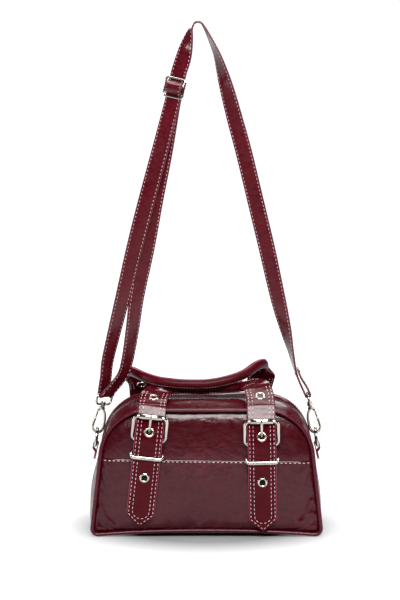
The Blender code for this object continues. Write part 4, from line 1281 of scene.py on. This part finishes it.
def handle(side):
    """Each end runs flat from under the buckle's roller, over the bag's top edge, and rolls
    into a round grip with a sewn ridge."""
    facing, ends, spine = HANDLES[side]
    legs = []
    for name in ends:
        stand = stand_of(name)
        legs.append([stand @ (FRONT * (y + 0.1 * MM) + UP * z)
                     for y, z in reversed(belt_route(SETS[name][2])[:4])])
    dense = smooth_route(legs[0] + [Vector(p) * MM for p in spine] + legs[1][::-1], 14)
    far = lengths(dense)
    total = far[-1]
    count = int(total / (1.5 * MM))
    at = [total * k / count for k in range(count + 1)]
    route = [Vector(read_at(s, far, dense)) for s in at]
    hinge = [min(part, key=lambda i: (route[i].z - HINGE_Z) ** 2)
             for part in (range(count // 2), range(count // 2, count + 1))]
    frames = []
    for i, (point, ahead) in enumerate(zip(route, tangents(route))):
        from_end = min(at[i] - at[hinge[0]], at[hinge[1]] - at[i])
        rolled = min(max((from_end - ROLL_FROM[side]) / (17 * MM), 0.0), 1.0)
        rolled = rolled * rolled * (3 - 2 * rolled)
        u = ahead.cross(Vector((0, 0.5 * facing, 0.85))).normalized()
        frames.append((point, ahead, u, ahead.cross(u).normalized(), rolled))
    for _ in range(6):
        soft = [f[2] for f in frames]
        for i in range(1, len(frames) - 1):
            u = soft[i - 1] + soft[i] * 2 + soft[i + 1]
            point, ahead, _, _, rolled = frames[i]
            u = (u - ahead * u.dot(ahead)).normalized()
            frames[i] = (point, ahead, u, ahead.cross(u).normalized(), rolled)

    def size(rolled):
        return ((1 - rolled) * BELT_WIDTH / 2 + rolled * GRIP_RADIUS,
                (1 - rolled) * BELT / 2 + rolled * GRIP_RADIUS)

    sides, rings = 40, []
    for point, _, u, v, rolled in frames:
        wide, thick = size(rolled)
        ring = []
        for k in range(sides):
            a = 2 * pi * k / sides
            c, s = cos(a), sin(a)
            x = (abs(c) ** (1 if rolled > 0.99 else 0.75 + 0.25 * rolled)) * (1 if c > 0 else -1)
            y = (abs(s) ** (0.42 + 0.58 * rolled)) * (1 if s > 0 else -1)
            bump = 1 + 0.03 * waver(point.x * 60, point.z * 60, c * 1.3 + s * 2.1) * rolled
            ring.append(point + u * (wide * x * bump) + v * (thick * y * bump))
        rings.append(ring)

    def kind(r, i):
        if frames[r][4] >= 0.75:
            return 2
        return 1 if abs(cos(2 * pi * (i + 0.5) / sides)) > 0.985 else 0

    # The rolled grip wears a darker copy of the belt leather: painted shade.
    parts = [skin(rings, ["belt_leather", "edge_paint", "grip_leather_painted_shade"], kind, sharp=60)]

    def outside(i, turn):
        point, _, u, v, rolled = frames[i]
        sense = turn if v.dot(Vector((0, facing, 0.8))) > 0 else -turn
        return point, u, v * sense, size(rolled)

    spans = []
    reach = (24 if side == "front" else 22) * MM
    for first, last in ((0, next(i for i in range(count) if at[i] > at[hinge[0]] + reach)),
                        (next(i for i in range(count, 0, -1) if at[i] < at[hinge[1]] - reach), count)):
        low, high = at[first] + 1 * MM, at[last] - 1 * MM
        for inset in BELT_SEAMS:
            for way, turn in ((-1, 1), (1, 1), (-1, -1), (1, -1)):
                def surface(s, _, inset=inset, way=way, turn=turn):
                    i = min(max(int(round(s / total * count)), 0), count)
                    point, u, out, (wide, thick) = outside(i, turn)
                    w = wide - inset * wide / (BELT_WIDTH / 2)
                    lift = thick * (1 - (w / wide) ** 6) ** 0.3
                    shift = frames[i][1] * ((s / total * count - i) * total / count)
                    return point + shift + u * (w * way) + out * lift, out
                clear = 14 * MM if turn < 0 else 0.0
                near, far_end = (low + clear, high) if first == 0 else (low, high - clear)
                spans += sewn([(near, 0), (far_end, 0)], *BELT_SEWING, surface)
    parts.append(stitches(spans, 0.4 * MM))

    grip = [i for i, f in enumerate(frames) if f[4] > 0.55]
    run = [at[i] for i in grip]
    ridge, seam = [], []
    for i in grip:
        point, ahead, _, _, rolled = frames[i]
        up = (UP - ahead * UP.dot(ahead)).normalized()
        outward = ahead.cross(up).normalized()
        if outward.y > 0:
            outward = -outward
        wide = size(rolled)[0]
        ridge.append(point + (up * 0.93 + outward * 0.34) * (min(wide, GRIP_RADIUS * 1.2) * 0.98))
        seam.append((point, ahead, (outward * 0.72 - up * 0.70).normalized(), min(wide, GRIP_RADIUS * 1.3)))
    parts.append(skin(tube_rings(ridge, lambda t: 0.95 * MM * min(1.0, 0.15 + 12 * min(t, 1 - t)), UP, 10,
                                 flat=0.75), ["edge_paint"], sharp=70))

    def under(s, _):
        k = min(max(int(round(float(np.interp(s, run, range(len(run)))))), 0), len(run) - 1)
        point, ahead, out, wide = seam[k]
        return point + ahead * (s - run[k]) + out * (wide * 0.985), out

    spans = sewn([(run[0] + 3 * MM, 0), (run[-1] - 3 * MM, 0)], 2.9 * MM, 1.9 * MM, under)
    parts.append(stitches(spans, 0.27 * MM, holes=False))
    for end, way in zip(hinge, (1, -1)):
        want = at[end] + way * 9.5 * MM
        i = min(range(count + 1), key=lambda k: abs(at[k] - want))
        for turn in (1, -1):
            point, u, out, (wide, thick) = outside(i, turn)
            parts += grommet(point + out * (thick + 0.05 * MM), out, 0.6 * MM)
    whole = piece(side + "_rolled_handle", merged(parts), None, side + "_handle")
    whole.data.shade_smooth()
    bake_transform(whole)


# ---------------------------------------------------------------- rings and hooks
def end_of(side):
    """The measures of one end of the shoulder strap, as its source works them out."""
    s, yaw = (-1, radians(-40)) if side == "left" else (1, 0.0)
    bar = RING_BAR[side].copy()
    rise = Vector((-s * sin(RING_LEAN), 0, cos(RING_LEAN)))
    arc = bar + rise * RING_STRAIGHT
    lean = Vector((-s * sin(HOOK_LEAN), 0, cos(HOOK_LEAN)))
    low = arc + rise * RING_HALF - lean * (WIRE + HOOK_WIRE + RING_PLAY)
    across = Vector((cos(HOOK_LEAN), 0, s * sin(HOOK_LEAN)))
    neck = low + lean * 27 * MM
    eye_low = neck + lean * 3.9 * MM
    bar_way = Matrix.Rotation(yaw, 3, lean) @ BACK
    return s, bar, rise, arc, lean, low, across, neck, eye_low, bar_way


def side_hardware(side):
    s, bar, rise, arc, lean, low, across, neck, eye_low, bar_way = end_of(side)
    tab_up = Vector((-s * sin(TAB_LEAN), 0, cos(TAB_LEAN)))
    face = -3.3 * MM
    mesh = wrapped(bar, SHEET, 15.5 * MM, face, 15 * MM, BACK * s, tab_up)
    piece(side + "_ring_strap", mesh, "bag", side + "_ring_tab")
    out = (BACK * s).cross(tab_up).normalized()

    def on_tab(a, b):
        return bar + BACK * a - tab_up * b + out * (face + 2 * SHEET), out

    box = [(a * MM, b * MM) for a, b in ((-5.5, 6.5), (5.5, 6.5), (5.5, 13.8), (-5.5, 13.8), (-5.5, 6.5))]
    piece(side + "_ring_strap_stitches", stitches(sewn(box, 2.8 * MM, 2.0 * MM, on_tab), 0.3 * MM), "bag")

    corner = [(RING_HALF - 4 * MM, 0.0), (RING_HALF - 2 * MM, 0.0), (RING_HALF - 0.6 * MM, 0.55 * MM),
              (RING_HALF, 2 * MM), (RING_HALF, 5 * MM)]
    loop = [bar + BACK * b + rise * r for b, r in corner]
    loop += [arc + RING_HALF * (BACK * cos(a) + rise * sin(a)) for a in (pi * k / 26 for k in range(27))]
    loop += [bar - BACK * b + rise * r for b, r in reversed(corner)]
    mesh = tube(loop, WIRE, rise.cross(BACK), "nickel", 16, loop=True)
    piece(side + "_d_ring", mesh, side + "_ring", side + "_ring")

    def at(a, b):
        return low + (across * a * s + lean * b) * MM

    shape = ((4.9, 14.0), (5.6, 9.0), (5.3, 4.2), (3.4, 0.8), (0.0, 0.0), (-3.4, 0.8), (-5.5, 4.4),
             (-5.8, 10.0), (-5.4, 16.0), (-3.8, 22.0), (-1.2, 25.6), (0.0, 27.2))
    wire = capped(smooth_route([at(a, b) for a, b in shape], 7), HOOK_WIRE, BACK, "nickel", 14)
    stem = turned([(along * MM, radius * MM) for along, radius in (
        (-1.7, 2.0), (-1.5, 2.8), (-1.2, 3.2), (0.7, 3.2), (1.0, 2.9), (1.3, 1.4), (1.7, 1.2), (6.2, 1.2),
        (6.4, 1.6), (6.5, 2.4), (6.9, 2.7), (7.5, 2.4), (7.9, 1.4))], lean, neck, "nickel", 24)
    ear = capped([at(1.2, 26.4), at(2.4, 24.9), at(3.4, 23.4)], 1.25 * MM, BACK, "nickel")
    pin = capped([at(3.6, 22.0) + BACK * y * MM for y in (-1.5, 0, 1.5)], 0.6 * MM, lean, "nickel", 10)
    piece(side + "_snap_hook", merged([wire, stem, ear, pin]), side + "_hook", side + "_hook")
    gate = capped([at(3.8, 21.4), at(4.2, 18.6), at(4.7, 15.8)], 1.05 * MM, BACK, "nickel")
    piece(side + "_snap_gate", gate, side + "_hook_gate", side + "_hook_gate")

    loop = [eye_low + bar_way * a + lean * (EYE_HALF.y + b) for a, b in rounded_loop(*EYE_HALF, 4.6 * MM)]
    mesh = tube(loop, EYE_WIRE, lean.cross(bar_way), "nickel", 14, loop=True)
    boss = turned([(along * MM, radius * MM) for along, radius in (
        (-2.0, 1.6), (-2.0, 2.5), (-1.6, 3.0), (1.6, 3.0), (2.0, 2.5), (2.0, 1.6))], lean, eye_low, "nickel",
        24, hollow=True)
    bore = turned([(-4.0 * MM, 1.6 * MM), (4.0 * MM, 1.6 * MM)], lean, eye_low, "nickel", 24)
    return piece(side + "_eye_loop", merged([cut(mesh, bore), boss]), "strap", side + "_swivel_eye")


# ---------------------------------------------------------------- shoulder strap
RIGHT_END = ((2.2, 9), (5.6, 19), (7.3, 30))
SLIDER_AT = Vector((-34.0, -2.0, 472.0)) * MM
SLIDER_UP = Vector((0.225, 0.0, 0.974)).normalized()
SLIDER_ACROSS = Vector((0.90, -0.36, -0.208)).normalized()
FOLD = EYE_WIRE + GAP + STRAP / 2


def slider_point(along, out):
    normal = SLIDER_ACROSS.cross(SLIDER_UP).normalized()
    return SLIDER_AT + (SLIDER_UP * along + normal * out) * MM


def strap_steps():
    """(point, width direction) from the slider's middle bar down to the left eye, back up through
    the slider, over the top and down to the right eye."""
    def fold(bar, out, up, across):
        return [(bar - FOLD * (out * cos(a) + up * sin(a)), across) for a in (pi * k / 6 for k in range(7))]

    def through(points):
        return [(slider_point(*p), SLIDER_ACROSS) for p in points]

    *_, up, _, _, _, eye_low, across = end_of("left")
    bar = eye_low + up * 2 * EYE_HALF.y
    out = up.cross(across).normalized()
    out = -out if out.x > 0 else out
    across = -across if across.x < 0 else across

    def between(low, high, y, points):
        for x, z in points:
            f = (z - low) / (high - low)
            yield Vector((x, y, z)) * MM, SLIDER_ACROSS * f + across * (1 - f)

    steps = through(((-1.4, 2.75), (0.6, 2.7), (2.4, 1.2), (2.6, -1.0), (0.8, -2.7), (-4, -3.7),
                     (-10, -5.3), (-19, -5.6)))
    steps += between(163, 450, 4.5, (
        (-45, 403), (-55, 353), (-64, 302), (-74.5, 250), (-79.5, 214), (-85, 181), (-91, 163)))
    steps += fold(bar, out, up, across)
    steps += between(164, 450, -3.0, (
        (-108, 164), (-106, 181), (-98, 215), (-89.4, 250), (-77, 302), (-63.7, 353), (-50, 404)))
    steps += through(((-19, -2.9), (-10, -2.8), (-7.8, -1.6), (-5.0, 1.6), (-2.6, 4.4), (0, 5.2),
                      (2.6, 4.4), (5.0, 1.6), (7.8, -1.6), (10, -2.8), (17, -2.6)))
    over = ((-24.6, 503, 0.8), (-19.8, 522, 0.45), (-16.5, 534, 0.15), (-12.4, 540.2, 0.0),
            (-6.6, 540.6, 0.0), (-1.8, 534.5, 0.05), (5.3, 520, 0.2), (12.3, 503, 0.35),
            (21.4, 471, 0.65), (30.5, 437, 0.85), (39.5, 404, 0.95), (51.9, 353, 0.95),
            (64.2, 302, 0.95), (75.9, 250, 0.75), (84.5, 215, 0.5), (90.5, 190, 0.25),
            (96.5, 166, 0.05))
    steps += [(Vector((x, -0.5 if z > 500 else 0.0, z)) * MM, Vector((facing, -1 + 0.85 * facing, 0)))
              for x, z, facing in over]
    *_, up, _, _, _, eye_low, across = end_of("right")
    bar = eye_low + up * 2 * EYE_HALF.y
    out = up.cross(across).normalized()
    out = -out if out.x < 0 else out
    steps += fold(bar, out, up, FRONT)
    steps += [(bar + out * (FOLD - depth * MM) + up * rise * MM, FRONT) for depth, rise in RIGHT_END]
    return steps, bar, up, out


def strap_slider():
    normal = SLIDER_ACROSS.cross(SLIDER_UP).normalized()
    loop = [SLIDER_AT + SLIDER_ACROSS * a + SLIDER_UP * b
            for a, b in rounded_loop(11.2 * MM, 10.0 * MM, 3.0 * MM)]
    ring = tube(loop, 1.2 * MM, normal, "nickel", 14, loop=True)
    bar = tube([SLIDER_AT + SLIDER_ACROSS * a * MM for a in np.linspace(-11, 11, 9)], 1.1 * MM, normal,
               "nickel")
    return piece("slider_loop", merged([ring, bar]), "strap", "strap_slider")


def shoulder_strap(eyes):
    steps, right_bar, right_up, right_out = strap_steps()
    track = Track([p for p, _ in steps], [w for _, w in steps], 1.5 * MM)
    seam = 2.0 * MM
    mesh = ribbon(track, lambda s: STRAP_WIDTH / 2, STRAP, ["strap_leather", "strap_edge"], (seam,),
                  0.16 * MM, 3.0, columns=8, ends=0.8 * MM)
    strap = piece("long_strap", mesh, "strap", "shoulder_strap")
    spans = []
    for w in (-1, 1):
        for side in (-1, 1):
            def surface(s, _, w=w, side=side):
                point, wide, out = track.read(s)
                return point + wide * (w * (STRAP_WIDTH / 2 - seam)) + out * (side * STRAP / 2), out * side
            spans += sewn([(4 * MM, 0), (track.length - 4 * MM, 0)], 4.2 * MM, 2.5 * MM, surface)
    sewing = piece("long_strap_stitches", stitches(spans, 0.25 * MM, holes=False), "strap")

    middle = right_bar + right_up * 25 * MM - right_out * 5.3 * MM
    rivet = piece("strap_rivet", merged([
        turned([(along * MM, radius * MM) for along, radius in profile], right_out, middle, "zip_metal", 20)
        for profile in (((1.9, 2.6), (2.4, 2.5), (3.2, 1.8), (3.5, 0.6)),
                        ((-3.5, 1.2), (-3.3, 2.4), (-2.1, 2.6)))]), "strap")
    slider = strap_slider()


# ---------------------------------------------------------------- the whole bag
camera()
studio()
materials()
floor_sheet()
shoulder_strap([side_hardware("left"), side_hardware("right")])
panels()
piping()
gussets()
top_gussets()
zipper()
zip_slider()
inside()
for set_name in SETS:
    buckle_set(set_name)
for handle_side in HANDLES:
    handle(handle_side)
